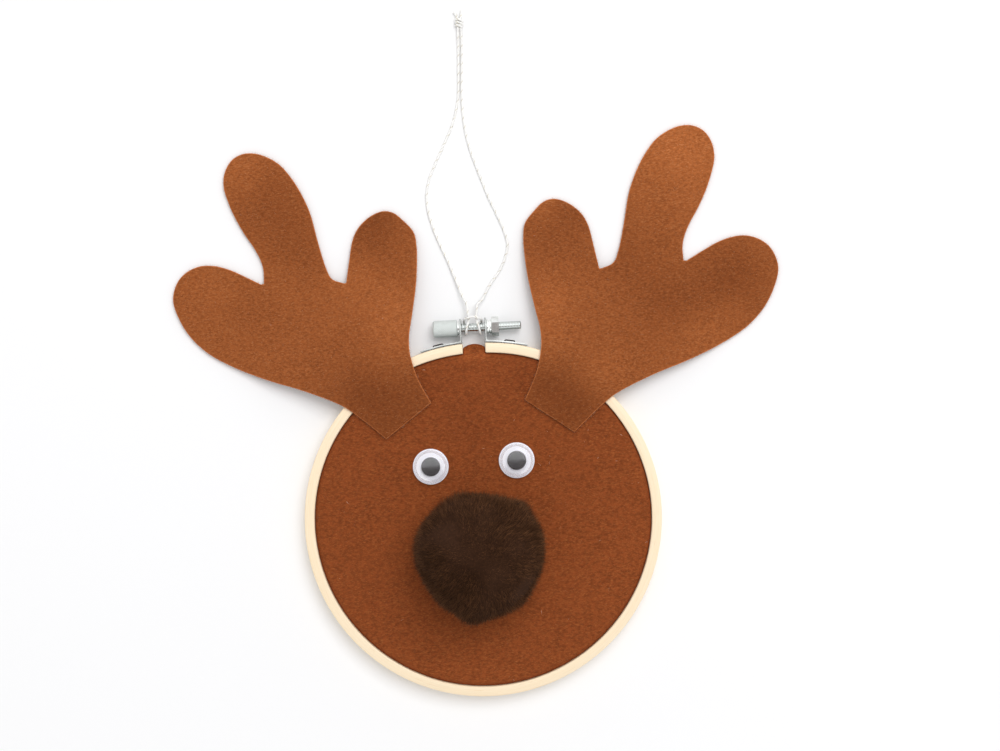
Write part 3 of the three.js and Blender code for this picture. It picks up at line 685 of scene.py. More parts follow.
faces = [(i * long + j, i * long + j + 1, (i + 1) % count * long + j + 1, (i + 1) % count * long + j)
         for i in range(count) for j in range(long - 1)]
top_hole = [i * long for i in range(count)]
under_hole = [i * long + long - 1 for i in range(count)]
face_felt = mesh_piece("face_felt_sheet", sheet.reshape(-1, 3), faces + [top_hole, under_hole[::-1]])
lay_like_hoop(face_felt, lambda radius: smooth_step((radius - 40) / 33))

# %% [markdown]
# The felt gets painted light and shade: soft patches painted lighter where light falls and darker where shade
# falls, with a painted lit band and a painted shaded crease on the swell in the gap. A number on its points
# says how much. It is a handful of soft spots, with places in mm from the hoop's middle.

# %% Painted light and shade on the felt
FACE_PAINTED_LIGHT = [  # x, y, how far it reaches, how much painted light (above 0) or painted shade (below 0)
    (58, -22, 38, 0.15), (-5, -72, 22, 0.25), (-38, -40, 16, -0.1), (23, 65, 10, -0.35), (61, 61, 9, 0.6),
    (-26, 63, 9, -0.3), (-4, 46, 16, -0.25), (-4.5, 76.6, 2.6, 0.9), (0, 76.6, 2.6, 0.7),
    (4.5, 76.6, 2.6, 0.9), (0, 78.8, 1.5, -0.9),
]


def paint_light_and_shade(piece, x, y, spots, rim=0):
    """Writes the painted light and shade of a piece whose points are at x and y in mm from the hoop's middle.
    """
    shade = sum(strength * np.exp(-((x - spot_x) ** 2 + (y - spot_y) ** 2) / reach ** 2)
                for spot_x, spot_y, reach, strength in spots)
    piece.data.attributes.new("painted_light", "FLOAT", "POINT").data.foreach_set("value", shade + rim)
    print(piece.name, "nap from", round(float(shade.min()), 2), "to", round(float(shade.max()), 2))


# painted light and shade on the face felt, from the spots above
paint_light_and_shade(face_felt, x.ravel(), y.ravel(), FACE_PAINTED_LIGHT)

# %% [markdown]
# Craft felt is matted fibre. From arm's length it reads as one brown with a fine, slightly streaky mottle,
# and it is quite matt with a soft pale edge, which sheen gives. Three sizes of noise do it: clouds of
# about a centimetre, the matted clumps of a millimetre or so, and single fibres, which are drawn a little
# coarser than the real 0.03 mm so that they show.

# %% Felt
CLOUD, CLUMP, FIBRE = 14, 1.1, 0.3  # mm
PAINTED_LIGHT_GAIN = (0.31, 0.36, 0.41)       # how much lighter, in red, green and blue, painted light of 1 makes the felt


def felt(name, dark, mid, light, sheen):
    material, tree, shader = new_material(
        name, Roughness=1.0, Sheen_Weight=0.2, Sheen_Roughness=0.4, Sheen_Tint=linear(sheen), IOR=1.3)
    where = add_node(tree, "TexCoord").outputs["Object"]

    def drawn_out(width, detail, scale=1, turn=0, roughness=0.5):
        """Noise with patches of a width in mm, drawn out along the felt's fibres."""
        along = add_node(
            tree, "Mapping", {"Vector": where, "Rotation": (0, 0, turn), "Scale": (scale, 1, 1)}).outputs[0]
        return add_node(tree, "TexNoise", {
            "Vector": along, "Scale": 1 / (width * MM), "Detail": detail, "Roughness": roughness
        }).outputs["Fac"]

    clouds = drawn_out(CLOUD, 2)
    clouds = add_node(tree, "MapRange", {"Value": clouds, "To Min": 0.2, "To Max": 0.7}).outputs[0]
    clumps = drawn_out(CLUMP, 3, 0.65, roughness=0.65)
    one, two = [drawn_out(FIBRE, 2, 0.25, turn) for turn in (0.3, -0.9)]
    hairs = add_node(tree, "Math", {0: one, 1: two}, operation="MAXIMUM").outputs[0]
    clouded = add_node(tree, "Mix", {0: clouds, 6: linear(dark), 7: linear(mid)}, data_type="RGBA").outputs[2]
    share = add_node(tree, "MapRange", {"Value": clumps, "From Min": 0.38, "From Max": 0.62}).outputs[0]
    clumped = add_node(tree, "Mix", {0: share, 6: clouded, 7: linear(mid)}, data_type="RGBA").outputs[2]
    share = add_node(
        tree, "MapRange", {"Value": hairs, "From Min": 0.56, "From Max": 0.8, "To Max": 0.8}).outputs[0]
    tone = add_node(tree, "Mix", {0: share, 6: clumped, 7: linear(light)}, data_type="RGBA").outputs[2]
    # painted light and shade: the number on the points scales the felt's colour lighter or darker
    painted_light = add_node(tree, "Attribute", attribute_name="painted_light").outputs["Fac"]
    gain = add_node(
        tree, "VectorMath", {0: painted_light, 1: PAINTED_LIGHT_GAIN, 2: (1, 1, 1)}, operation="MULTIPLY_ADD").outputs[0]
    shaded = add_node(tree, "VectorMath", {0: tone, 1: gain}, operation="MULTIPLY").outputs[0]
    rough = add_node(tree, "Math", {0: hairs, 1: clumps}, operation="ADD").outputs[0]
    set_surface(tree, shader, shaded, rough, 0.7, 0.25)
    return material


dark_felt = felt("dark brown craft felt", "#5a2a0f", "#8d4620", "#b16837", "#a06c44")
light_felt = felt("light brown craft felt", "#6e3615", "#9e572b", "#c07c4c", "#b07a50")
finish_piece(face_felt, "insert", dark_felt, ("face_felt",), angle=50)

# %% [markdown]
# ## Loose fibres
# What tells felt and wool from plastic at a glance is their soft edge: single fibres stand out of it. One
# function grows many fine, bent, tapering fibres in one mesh. Each is a three-sided spike with a dozen
# faces, closed at its root and its tip, and a number on its points gives it its own shade.

# %% Grow fibres
def fibres(name, material, root, heading, bend, length, thickness):
    """Fine fibres: arrays of roots and lengths in metres, unit headings and sideways bends, and a range of
    thicknesses in mm."""
    count, sides, rings = len(root), 3, 2
    thick = dice.uniform(*thickness, count) * MM
    shade = dice.random(count)
    across = unit(np.cross(heading, bend + np.array((0.13, 0.37, 0.71))))
    other = np.cross(heading, across)
    points = np.zeros((count, rings * sides + 1, 3))
    for ring, share in enumerate((0, 0.5)):
        centre = root + heading * (length * share)[:, None] + bend * (length * share ** 2)[:, None]
        for one in range(sides):
            turn = one * 2 * math.pi / sides
            out = across * math.cos(turn) + other * math.sin(turn)
            points[:, ring * sides + one] = centre + out * (thick * (0.5 - 0.1 * ring))[:, None]
    points[:, -1] = root + (heading + bend) * length[:, None]
    points[..., 2] = np.maximum(points[..., 2], 0)  # the table's top stops them
    start = np.arange(count)[:, None] * (rings * sides + 1)
    quads = [start + np.array([[a, (a + 1) % 3, (a + 1) % 3 + 3, a + 3]]) for a in range(sides)]
    triangles = [start + np.array([[3 + a, 3 + (a + 1) % 3, 6]]) for a in range(sides)]
    triangles.append(start + np.array([[2, 1, 0]]))
    corners = np.concatenate([np.concatenate(quads).ravel(), np.concatenate(triangles).ravel()])
    sizes = np.repeat((4, 3), (len(quads) * count, len(triangles) * count))
    mesh = bpy.data.meshes.new(name)
    mesh.vertices.add(points.shape[0] * points.shape[1])
    mesh.vertices.foreach_set("co", points.ravel())
    mesh.loops.add(len(corners))
    mesh.loops.foreach_set("vertex_index", corners)
    mesh.polygons.add(len(sizes))
    mesh.polygons.foreach_set("loop_start", np.concatenate([[0], np.cumsum(sizes)[:-1]]))
    mesh.update(calc_edges=True)
    tint = mesh.attributes.new("shade", "FLOAT", "POINT")
    tint.data.foreach_set("value", np.repeat(shade, rings * sides + 1))
    piece = add_object(name, mesh)
    piece.data.materials.append(material)
    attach(piece, "insert")
    print(name, count, "fibres")


def fibre_material(name, dark, light, sheen):
    """A fibre's colour goes from dark to light by its own shade."""
    material, tree, shader = new_material(
        name, Roughness=0.9, Sheen_Weight=sheen, Sheen_Roughness=0.4, Specular_IOR_Level=0.1)
    shade = add_node(tree, "Attribute", attribute_name="shade").outputs["Fac"]
    where = add_node(tree, "TexCoord").outputs["Object"]
    patches = add_node(tree, "TexNoise", {"Vector": where, "Scale": 1 / (6 * MM), "Detail": 2}).outputs["Fac"]
    both = add_node(tree, "Math", {0: shade, 1: patches}, operation="MULTIPLY").outputs[0]
    share = add_node(tree, "MapRange", {"Value": both, "From Min": 0.1, "From Max": 0.5}).outputs[0]
    tone = add_node(tree, "Mix", {0: share, 6: linear(dark), 7: linear(light)}, data_type="RGBA").outputs[2]
    set_surface(tree, shader, tone)
    return material


def random_headings(count):
    return unit(dice.normal(size=(count, 3)))


# %% [markdown]
# ## Antlers
# Each antler is cut from lighter felt with scissors, glued to the face at its base, and droops from the hoop
# down to the table. The pattern is in shares of the antler's width and length: three smooth runs with a
# sharp corner between them, and a straight base. The right one was cut a little larger.

# %% The antler's pattern
INNER_TINE = [
    (0, 0.115), (0.032, 0.17), (0.056, 0.222), (0.073, 0.29), (0.0725, 0.345), (0.057, 0.416), (0.036, 0.52),
    (0.028, 0.6), (0.027, 0.65), (0.036, 0.7), (0.074, 0.741), (0.112, 0.77), (0.149, 0.778), (0.187, 0.77),
    (0.222, 0.752), (0.257, 0.722), (0.279, 0.684), (0.298, 0.605), (0.312, 0.538),
]
MIDDLE_TINE = [
    (0.32, 0.537), (0.368, 0.555), (0.39, 0.595), (0.416, 0.682), (0.442, 0.785), (0.478, 0.862),
    (0.515, 0.916), (0.552, 0.955), (0.597, 0.982), (0.648, 0.998), (0.697, 0.998), (0.74, 0.979),
    (0.77, 0.938), (0.777, 0.888), (0.762, 0.835), (0.735, 0.775), (0.7, 0.717), (0.668, 0.672),
    (0.645, 0.628), (0.637, 0.596), (0.638, 0.55),
]
OUTER_TINE = [
    (0.65, 0.549), (0.715, 0.58), (0.772, 0.605), (0.834, 0.621), (0.889, 0.6215), (0.943, 0.603),
    (0.98, 0.57), (1, 0.517), (0.991, 0.47), (0.946, 0.39), (0.873, 0.323), (0.765, 0.267),
    (0.636, 0.219), (0.497, 0.177), (0.345, 0.118), (0.271, 0.069), (0.182, 0),
]
# side, width, length, and the inset and height of the pattern's corner, in mm
ANTLERS = {"left": (-1, 117.6, 135.8, 21, 38.8), "right": (1, 121, 139.6, 22.2, 37.5)}
ANTLER_THICKNESS = 1.2
DROOP_LENGTH = 65   # mm from the hoop's rim to where the felt lies on the table
CUT_SPACING = 0.9   # mm from one point of the outline to the next


def antler_outline(side, width, length, inset, base):
    """The cut edge as points in mm from the hoop's middle."""
    runs = [smooth_line([(side * (inset + a * width), base + b * length) for a, b in run], CUT_SPACING)
            for run in (INNER_TINE, MIDDLE_TINE, OUTER_TINE)]
    return np.vstack(runs)


def signed_area(outline):
    """An outline's area: above 0 if it runs anticlockwise."""
    x, y = outline.T
    return (np.dot(x, np.roll(y, -1)) - np.dot(y, np.roll(x, -1))) / 2


def antler_underside(x, y):
    """How high the felt lies, in mm: flat on the hoop, then down to the table in one soft curve."""
    flat, tip = OUTER_HOOP[2] + 0.3, 0.6
    return flat - (flat - tip) * smooth_step((np.hypot(x, y) - OUTER_HOOP[1]) / DROOP_LENGTH)


# %% [markdown]
# The outline is filled and pulled up to the felt's thickness, its rim is bevelled because a scissor cut in
# felt is soft, and it is cut into a grid so that it can bend. Then every point moves up by the droop, with
# a little unevenness. The cut rim is painted lighter: partly the paler fibres that a cut shows, partly a
# painted highlight where the edge catches the light. Blender's tools may number the new faces in
# another way in each run, so they are put in order by their corners' places: the fibres that grow on them
# later then come out the same every time.

# %% Cut and drape the antlers
GRID = 2.0      # mm
CUT_ROUND = 0.45
CUT_RIM_HIGHLIGHT = 2.4  # painted highlight of the cut rim, partly its paler cut fibres


def antler_sheet(name, outline, painted_light):
    mesh = bmesh.new()
    corners = [mesh.verts.new((x, y, 0)) for x, y in outline]
    bottom = mesh.faces.new(corners)
    top = bmesh.ops.extrude_face_region(mesh, geom=[bottom], use_keep_orig=True)["geom"]
    raised = [part for part in top if isinstance(part, bmesh.types.BMVert)]
    bmesh.ops.translate(mesh, verts=raised, vec=(0, 0, ANTLER_THICKNESS))
    rim = [edge for edge in mesh.edges if run_of(edge, 2) < 0.01]
    bmesh.ops.bevel(mesh, geom=rim, offset=CUT_ROUND, segments=3, affect="EDGES", profile=0.5)
    low, high = outline.min(0), outline.max(0)
    for axis in (0, 1):
        for stop in np.arange(low[axis] + GRID, high[axis], GRID):
            point, normal = [0, 0, 0], [0, 0, 0]
            point[axis], normal[axis] = stop, 1
            bmesh.ops.bisect_plane(
                mesh, geom=mesh.verts[:] + mesh.edges[:] + mesh.faces[:], plane_co=point, plane_no=normal)
    bmesh.ops.recalc_face_normals(mesh, faces=mesh.faces)
    in_order = sorted(mesh.faces, key=lambda face: sorted(tuple(vert.co) for vert in face.verts))
    rank = {face: number for number, face in enumerate(in_order)}
    mesh.faces.sort(key=lambda face: rank[face])
    data = bpy.data.meshes.new(name)
    mesh.to_mesh(data)
    mesh.free()
    piece = add_object(name, data)
    where = points_of(piece)
    x, y, z = where.T
    # painted light and shade from the spots, plus the cut rim's painted highlight
    paint_light_and_shade(piece, x, y, painted_light, ((z > 0.01) & (z < ANTLER_THICKNESS - 0.01)) * CUT_RIM_HIGHLIGHT)
    lift = smooth_step((np.hypot(x, y) - 90) / 30)
    where[:, 2] += antler_underside(x, y) + 0.25 * lift * (1 + ripples(x * MM, y * MM))
    move_points(piece, places(where))
    return piece


# painted light and shade on each antler: soft patches painted lighter where light falls and darker where
# shade falls, darkest at the base on the face
ANTLER_PAINTED_LIGHT = {
    "left": [
        (-38, 52, 34, -1.1), (-44, 139, 16, -0.95), (-105, 169, 12, 0.45), (-90, 147, 17, -0.65),
        (-77, 128, 14, -0.4), (-33, 116, 9, -0.3), (-55, 112, 9, 0.4), (-36, 103, 12, 0.4),
        (-36, 84, 15, 0.8), (-53, 61, 10, -0.3), (-87, 162, 8, -0.12), (-124, 114, 8, 0.25),
        (-102, 97, 13, -0.25),
    ],
    "right": [
        (38, 52, 34, -1.1), (38, 130, 20, -0.6), (100, 168, 26, 1.1), (120, 104, 20, -0.9),
        (34, 144, 8, 0.6), (34, 99, 12, 0.6), (37, 78, 13, 0.65), (58, 64, 12, 0.8), (73, 118, 17, -0.6),
        (89, 94, 16, -0.65), (107, 80, 9, 0.35), (120, 88, 9, 0.35), (50, 138, 8, -0.3),
        (32, 62, 8, -0.3), (48, 52, 9, -0.3), (90, 150, 14, -0.3),
    ],
}
antler_edges = {}
for side, sizes in ANTLERS.items():
    outline = antler_outline(*sizes)
    antler_edges[side] = outline
    antler = antler_sheet(f"{side}_antler_felt", outline, ANTLER_PAINTED_LIGHT[side])
    finish_piece(antler, "insert", light_felt, (f"{side}_antler",), angle=50, outward=False)

# %% [markdown]
# Now the fuzz. Fibres lean out of the antlers' cut edge all the way round, and a few lie on top of the
# felt. Their places and headings come from a fixed seed.

# %% Fuzz on the felt
fuzz = fibre_material("loose felt fibre", "#a4673f", "#e0b48f", 0.2)
FUZZ_DENSITY = 7  # fibres for each mm of cut edge

for side, outline in antler_edges.items():
    following = np.roll(outline, -1, 0) - outline
    gap = np.linalg.norm(following, axis=1)
    out = np.column_stack([following[:, 1], -following[:, 0]]) / gap[:, None] * np.sign(signed_area(outline))
    per_edge = np.maximum((gap * FUZZ_DENSITY).astype(int), 1)
    at = np.repeat(np.arange(len(outline)), per_edge)
    count = len(at)
    spot = outline[at] + following[at] * dice.random((count, 1))
    depth = dice.uniform(0.15, 1.05, count)
    root = np.column_stack([spot - 0.1 * out[at], antler_underside(spot[:, 0], spot[:, 1]) + depth])
    heading = unit(random_headings(count) * 0.8 + np.column_stack([out[at], np.zeros(count)]))
    fibres(f"{side}_antler_fuzz", fuzz, places(root), heading, random_headings(count) * 0.5,
           dice.uniform(0.3, 1.1, count) * MM, (0.03, 0.06))

# %% [markdown]
# The top of the felt has its own short fuzz, and a few longer bits of lint that cling to it. They start on
# the surface of the mesh itself: a face is drawn by its area, then a place on it.

# %% Fuzz on the surfaces
def surface_fuzz(piece, name, count, lengths, thickness, lean, material):
    faces = [face for face in piece.data.polygons if face.normal.z > 0.7]
    centres = np.array([face.center for face in faces])
    areas = np.array([face.area for face in faces])
    reach = np.sqrt(areas)[:, None] * 0.5
    at = dice.choice(len(faces), count, p=areas / areas.sum())
    shift = dice.uniform(-1, 1, (count, 3)) * np.minimum(reach[at], 1 * MM)
    shift[:, 2] = -0.05 * MM
    heading = random_headings(count)
    heading[:, 2] = np.abs(heading[:, 2]) * lean + 0.02
    fibres(name, material, centres[at] + shift, unit(heading), random_headings(count) * (0.4, 0.4, 0.1),
           dice.uniform(*lengths, count) * MM, thickness)


dark_fuzz = fibre_material("loose dark felt fibre", "#7a3d1e", "#b9825a", 0.2)
lint = fibre_material("pale lint", "#c79c78", "#f0d9c4", 0.2)
for side in antler_edges:
    antler = bpy.data.objects[f"{side}_antler_felt"]
    surface_fuzz(antler, f"{side}_antler_nap", 5000, (0.3, 0.8), (0.04, 0.07), 0.8, fuzz)
    surface_fuzz(antler, f"{side}_antler_lint", 14, (0.5, 1.6), (0.08, 0.14), 0.05, lint)
surface_fuzz(face_felt, "face_nap", 8000, (0.3, 0.8), (0.04, 0.07), 0.8, dark_fuzz)
surface_fuzz(face_felt, "face_lint", 60, (0.6, 2), (0.09, 0.16), 0.05, lint)

# %% [markdown]
# ## Eyes
# A craft eye is a white plastic disc with a clear dome pressed onto it, and a loose black disc between them.
# The back is moulded polystyrene, an even white with a soft shine. The pupil is stamped from black PVC and is
# smooth enough to mirror the room. Both are cylinders with rounded rims.

# %% Moulded and stamped plastics
white_plastic = mottled(
    "moulded white polystyrene", 5, 1, "#f4f2fa", "#fbf9fd", 0.1, 0.2, Roughness=0.35, IOR=1.59)
black_plastic = mottled(
    "stamped black PVC", 0.4, 2, "#151318", "#242128", 0.15, 0.05, Roughness=0.2, IOR=1.6, Coat_Weight=1.0,
    Coat_Roughness=0.1)

# %% [markdown]
# The dome is half a millimetre thick. A wall so thin hardly bends the light that passes, so we mix a
# see-through shader with a mirror one by the angle of sight, which is what a thin clear shell does: clear
# in the middle and brighter at its rim, but never more mirror than a quarter.

# %% Clear dome plastic
MOST_MIRROR = 0.25
clear_plastic = bpy.data.materials.new("vacuum-formed clear PVC")
clear_plastic.use_nodes = True
tree = clear_plastic.node_tree
tree.nodes.remove(tree.nodes["Principled BSDF"])
where = add_node(tree, "TexCoord").outputs["Object"]
waves = add_node(tree, "TexNoise", {"Vector": where, "Scale": 1 / (3 * MM), "Detail": 1}).outputs["Fac"]
bump = add_node(tree, "Bump", {"Height": waves, "Strength": 0.1, "Distance": 0.1 * MM}).outputs[0]
seen_through = add_node(tree, "BsdfTransparent", {"Color": (0.99, 0.99, 0.996, 1)}).outputs[0]
mirror = add_node(tree, "BsdfGlossy", {"Color": (1, 1, 1, 1), "Roughness": 0.12, "Normal": bump}).outputs[0]
grazing = add_node(tree, "Fresnel", {"IOR": 1.5, "Normal": bump}).outputs[0]
share = add_node(tree, "Math", {0: grazing, 1: MOST_MIRROR}, operation="MINIMUM").outputs[0]
shell = add_node(tree, "MixShader", {0: share, 1: seen_through, 2: mirror}).outputs[0]
tree.links.new(shell, tree.nodes["Material Output"].inputs["Surface"])
print("material", clear_plastic.name)

# %% [markdown]
# The dome starts as a cylinder with no bottom. Its top rim is bevelled into the shoulder, its top is inset
# and raised into a low crown, its bottom edge is pulled out into the flange, and Solidify gives it its wall.

# %% Eye pieces
EYES = {"left": (-22.7, 25), "right": (17, 25.9)}
# all in mm
EYE_RADIUS, EYE_FLOOR, BACK_THICKNESS, BACK_ROUND = 8.25, 10.1, 0.6, 0.2
DOME_RADIUS, DOME_RISE, DOME_WALL, DOME_SHOULDER = 7.75, 4.2, 0.5, 3.2
DOME_CROWN = ((1.3, 0.1), (1.3, 0.08))  # each step's inset and rise
PUPIL_RADIUS, PUPIL_THICKNESS, PUPIL_ROUND, PUPIL_CROWN = 4.4, 0.8, 0.25, 0.06
CROWN_STEPS = 4


def cylinder(name, x, y, low, high, radius):
    """An upright cylinder, all in mm from the hoop's middle."""
    deselect_all()
    bpy.ops.mesh.primitive_cylinder_add(
        vertices=64, radius=radius * MM, depth=(high - low) * MM, location=place(x, y, (low + high) / 2))
    return named(name)


def flat_top(smallest):
    """A rule for faces that look straight up and are larger than so many square mm."""
    return lambda face: face.normal.z > 0.99 and face.calc_area() > smallest * MM * MM


def at_height(height):
    """A rule for edges that lie at a height in mm."""
    return lambda edge: all(abs(vert.co.z - height * MM) < SAME for vert in edge.verts)


def eye_dome(name, x, y):
    low, high = EYE_FLOOR + DOME_WALL + 0.03, EYE_FLOOR + DOME_RISE
    dome = cylinder(name, x, y, low, high, DOME_RADIUS)
    choose(dome, "faces", lambda face: face.normal.z < -0.9)
    bpy.ops.mesh.delete(type="ONLY_FACE")
    choose(dome, "edges", at_height(high))
    bpy.ops.mesh.bevel(offset=DOME_SHOULDER * MM, segments=9, affect="EDGES", profile=0.5)
    for inset, rise in DOME_CROWN:
        choose(dome, "faces", flat_top(20))
        inset_faces(inset, (0, 0, rise))
    choose(dome, "edges", at_height(low))
    bpy.ops.mesh.extrude_edges_move()
    grow = (EYE_RADIUS - 0.05) / DOME_RADIUS
    bpy.ops.transform.resize(value=(grow, grow, 1), center_override=place(x, y, EYE_FLOOR))
    face_outwards(dome)
    apply_modifier(dome, "SOLIDIFY", thickness=DOME_WALL * MM, offset=-1)
    return dome


def rounded_disc(name, x, y, low, thickness, radius, edge_round, crown=0):
    disc = cylinder(name, x, y, low, low + thickness, radius)
    choose(disc, "edges", lambda edge: run_of(edge, 2) < SAME)
    bpy.ops.mesh.bevel(offset=edge_round * MM, segments=3, affect="EDGES")
    for step in range(CROWN_STEPS if crown else 0):
        choose(disc, "faces", flat_top(0.4 * math.pi * radius ** 2 / (step + 1)))
        inset_faces(radius / 5.5, (0, 0, crown * (1 - step / CROWN_STEPS)))
    return disc


for side, (x, y) in EYES.items():
    back = rounded_disc(
        f"{side}_eye_back", x, y, EYE_FLOOR - BACK_THICKNESS, BACK_THICKNESS, EYE_RADIUS, BACK_ROUND)
    finish_piece(back, "insert", white_plastic, (f"{side}_eye_backing",))
    pupil = rounded_disc(
        f"{side}_pupil_disc", x, y, EYE_FLOOR + 0.3, PUPIL_THICKNESS, PUPIL_RADIUS, PUPIL_ROUND, PUPIL_CROWN)
    finish_piece(pupil, f"{side}_pupil", black_plastic, (f"{side}_eye_pupil",))
    dome = eye_dome(f"{side}_clear_dome", x, y)
    finish_piece(
        dome, "insert", clear_plastic, (f"{side}_eye_dome",), angle=40, outward=False)

# %% [markdown]
# ## Nose
# The nose is a craft pompom: yarn is wound, tied in the middle and cut, and the cut ends splay into a ball
# that is trimmed and fluffed. Inside, the fibres are too dense to see through, so a soft lumpy ball stands
# for them, and tens of thousands of single fibres grow out of it. A few tufts stand longer, as on the real
# one. The nose is plain dark brown wool.

# %% The pompom's form
NOSE = np.array((-2.1, -16, 33.1))
NOSE_RADIUS, NOSE_HALF_HEIGHT = 30.0, 26.5
NOSE_FLOOR = 9.6
CORE_SHARE, ROOT_SHARE = 0.93, 0.84  # how far out the core's surface and the fibres' roots are
TUFTS = [  # heading in degrees round the nose, how wide the tuft is, and how far it stands out in mm
    (30, 28, 2.6), (48, 8, 2), (115, 60, 1), (155, 25, 1.6), (207, 22, -2.3), (241, 10, -1.6), (262, 9, 0.9),
    (318, 40, -0.7),
]


def nose_surface(direction):
    """Points in mm on the pompom's trimmed surface, for unit directions from its middle."""
    around = np.degrees(np.arctan2(direction[:, 1], direction[:, 0]))
    level = 1 - direction[:, 2] ** 2
    tufts = sum(height * level * np.exp(-(((around - heading + 180) % 360 - 180) / width) ** 2)
                for heading, width, height in TUFTS)
    lumps = ripples(direction[:, 0] * 0.03, direction[:, 1] * 0.03 + direction[:, 2] * 0.02)
    size = np.array((NOSE_RADIUS - 1, NOSE_RADIUS - 1, NOSE_HALF_HEIGHT - 0.9))
    point = NOSE + direction * (size + (tufts + 0.5 * lumps)[:, None])
    point[:, 2] = np.maximum(point[:, 2], NOSE_FLOOR)
    return point


deselect_all()
bpy.ops.mesh.primitive_ico_sphere_add(subdivisions=6, radius=1)
core = named("pompom_core")
inner = NOSE + (nose_surface(unit(points_of(core))) - NOSE) * CORE_SHARE
inner[:, 2] = np.maximum(inner[:, 2], NOSE_FLOOR)
move_points(core, places(inner))

# %% [markdown]
# The core wears the same browns as the fibres, painted darker, with a deep bump: it is only seen between
# them, so its darker browns are painted shade. Wool fibres are matt.

# %% Pompom materials
# painted shade: the core's browns are darker than the fibres'
wool_core = mottled(
    "wool core in painted shade", 1.2, 3, "#291910", "#492f20", 0.8, 0.6, Roughness=1.0, Specular_IOR_Level=0.1)
wool = fibre_material("trimmed wool fibre", "#362113", "#765035", 0.0)
finish_piece(core, "insert", wool_core, ("nose_pompom",), angle=60)

# %% [markdown]
# The fibres start inside the core and end at the trimmed surface. They are spread evenly over the ball by
# the golden angle, then shaken, and lean with a slow swirl so that they lie in soft locks. They are split
# into a few pieces so that none is too heavy.

# %% Pompom fibres
FIBRES, PARTS = 42000, 3
turn = np.arange(FIBRES) * math.pi * (3 - math.sqrt(5))
level = np.maximum(1 - 2 * (np.arange(FIBRES) + 0.5) / FIBRES, -0.93)
flat = np.sqrt(1 - level ** 2)
directions = np.column_stack([flat * np.cos(turn), flat * np.sin(turn), level])
directions = unit(directions + dice.normal(scale=0.014, size=directions.shape))
tips = nose_surface(directions)
x, y, z = directions.T * 0.05
swirl = np.column_stack([ripples(y, z), ripples(z, x), ripples(x, y)])
reach = dice.uniform(0.97, 1.02, FIBRES) + (dice.random(FIBRES) > 0.985) * dice.uniform(0, 0.05, FIBRES)
root = NOSE + (tips - NOSE) * ROOT_SHARE
length = np.linalg.norm(tips - root, axis=1) * reach
heading = unit(tips - root)
bend = swirl * 0.28 + dice.normal(scale=0.16, size=directions.shape)
root[:, 2] = np.maximum(root[:, 2], NOSE_FLOOR + 0.4)
for part in range(PARTS):
    mine = slice(part, None, PARTS)
    fibres(f"pompom_fibres_{part + 1}", wool, places(root[mine]), heading[mine], bend[mine],
           length[mine] * MM, (0.16, 0.26))

# %% [markdown]
# ## Clamp
# The clamp is zinc-plated steel: two bent brackets, a knurled screw, a round collar and an M4 nut. Zinc plate
# is a pale grey metal, satin and a little cloudy. The bent strip and the thread are duller than the turned
# parts, and the knurls are rough. The staples are blackened wire, nearly black with a faint gleam.

# %% Metals
def zinc_plate(name, smooth, rough, dull, bright, metallic=1.0):
    """Zinc plate between two roughnesses and two colours."""
    material, tree, shader = new_material(name, Metallic=metallic, Roughness=smooth)
    where = add_node(tree, "TexCoord").outputs["Object"]
    clouds, grit = [
        add_node(tree, "TexNoise", {
            "Vector": where, "Scale": 1 / (width * MM), "Detail": detail}).outputs["Fac"]
        for width, detail in ((2.5, 3), (0.15, 1))]
    tone = add_node(tree, "Mix", {0: clouds, 6: linear(dull), 7: linear(bright)}, data_type="RGBA").outputs[2]
    gloss = add_node(tree, "MapRange", {"Value": clouds, "To Min": smooth, "To Max": rough}).outputs[0]
    tree.links.new(gloss, shader.inputs["Roughness"])
    set_surface(tree, shader, tone, grit, 0.12, 0.02)
    return material


zinc = zinc_plate("zinc-plated steel", 0.14, 0.28, "#d6dad8", "#eeefed")
strip_zinc = zinc_plate("bent zinc-plated strip", 0.2, 0.34, "#aaadab", "#bfc1bf")
threaded_zinc = zinc_plate("rolled-thread zinc-plated steel", 0.2, 0.3, "#b0b5b3", "#c5c9c7")
knurled_zinc = zinc_plate("knurled zinc-plated steel", 0.5, 0.6, "#c1c7c4", "#d4d8d6", metallic=0.6)
wire = mottled("blackened staple wire", 0.5, 2, "#2b2624", "#4a4340", Metallic=0.8, Roughness=0.5)

# %% [markdown]
# The brackets' solids already have the right form, so a copy of each is cleaned up and its sharp edges are
# bevelled, as stamped strip has. The copy's triangles are loose, so they are merged first. Each strap then
# follows the hoop's lie, and the ears splay a little, as the real ones do.

# %% Brackets
EAR_LEAN = 0.07      # mm sideways for each mm of height
STRAP_OUTSIDE = 83.6  # mm from the hoop's middle: further out is ear, which doesn't follow the hoop
CLAMP_SIDES = (("left", -1, "frame"), ("right", 1, "clamp_end"))
for side, sign, body in CLAMP_SIDES:
    piece = add_object(f"{side}_stamped_bracket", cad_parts[f"{side}_bracket"].data.copy())
    choose(piece, "verts")
    bpy.ops.mesh.remove_doubles(threshold=0.005 * MM)
    bpy.ops.mesh.dissolve_limited(angle_limit=math.radians(1))
    bevel_sharp(piece, 0.12, 2, 50)
    lay_like_hoop(piece, lambda radius: 1 - smooth_step((radius - STRAP_OUTSIDE) / 3))
    for vert in piece.data.vertices:
        from_axis = vert.co - place(*SCREW_AXIS)
        vert.co.x += sign * EAR_LEAN * from_axis.z * smooth_step((from_axis.y / MM + 5) / 3)
    finish_piece(piece, body, strip_zinc, (f"{side}_bracket",), angle=30)

# %% [markdown]
# A staple is one round wire. It is drawn as it is bent: a circle is pulled along the first leg, spun round
# the corner, pulled along the crown, spun again and pulled down the second leg. Spin turns clockwise, seen
# from above, for a positive angle.

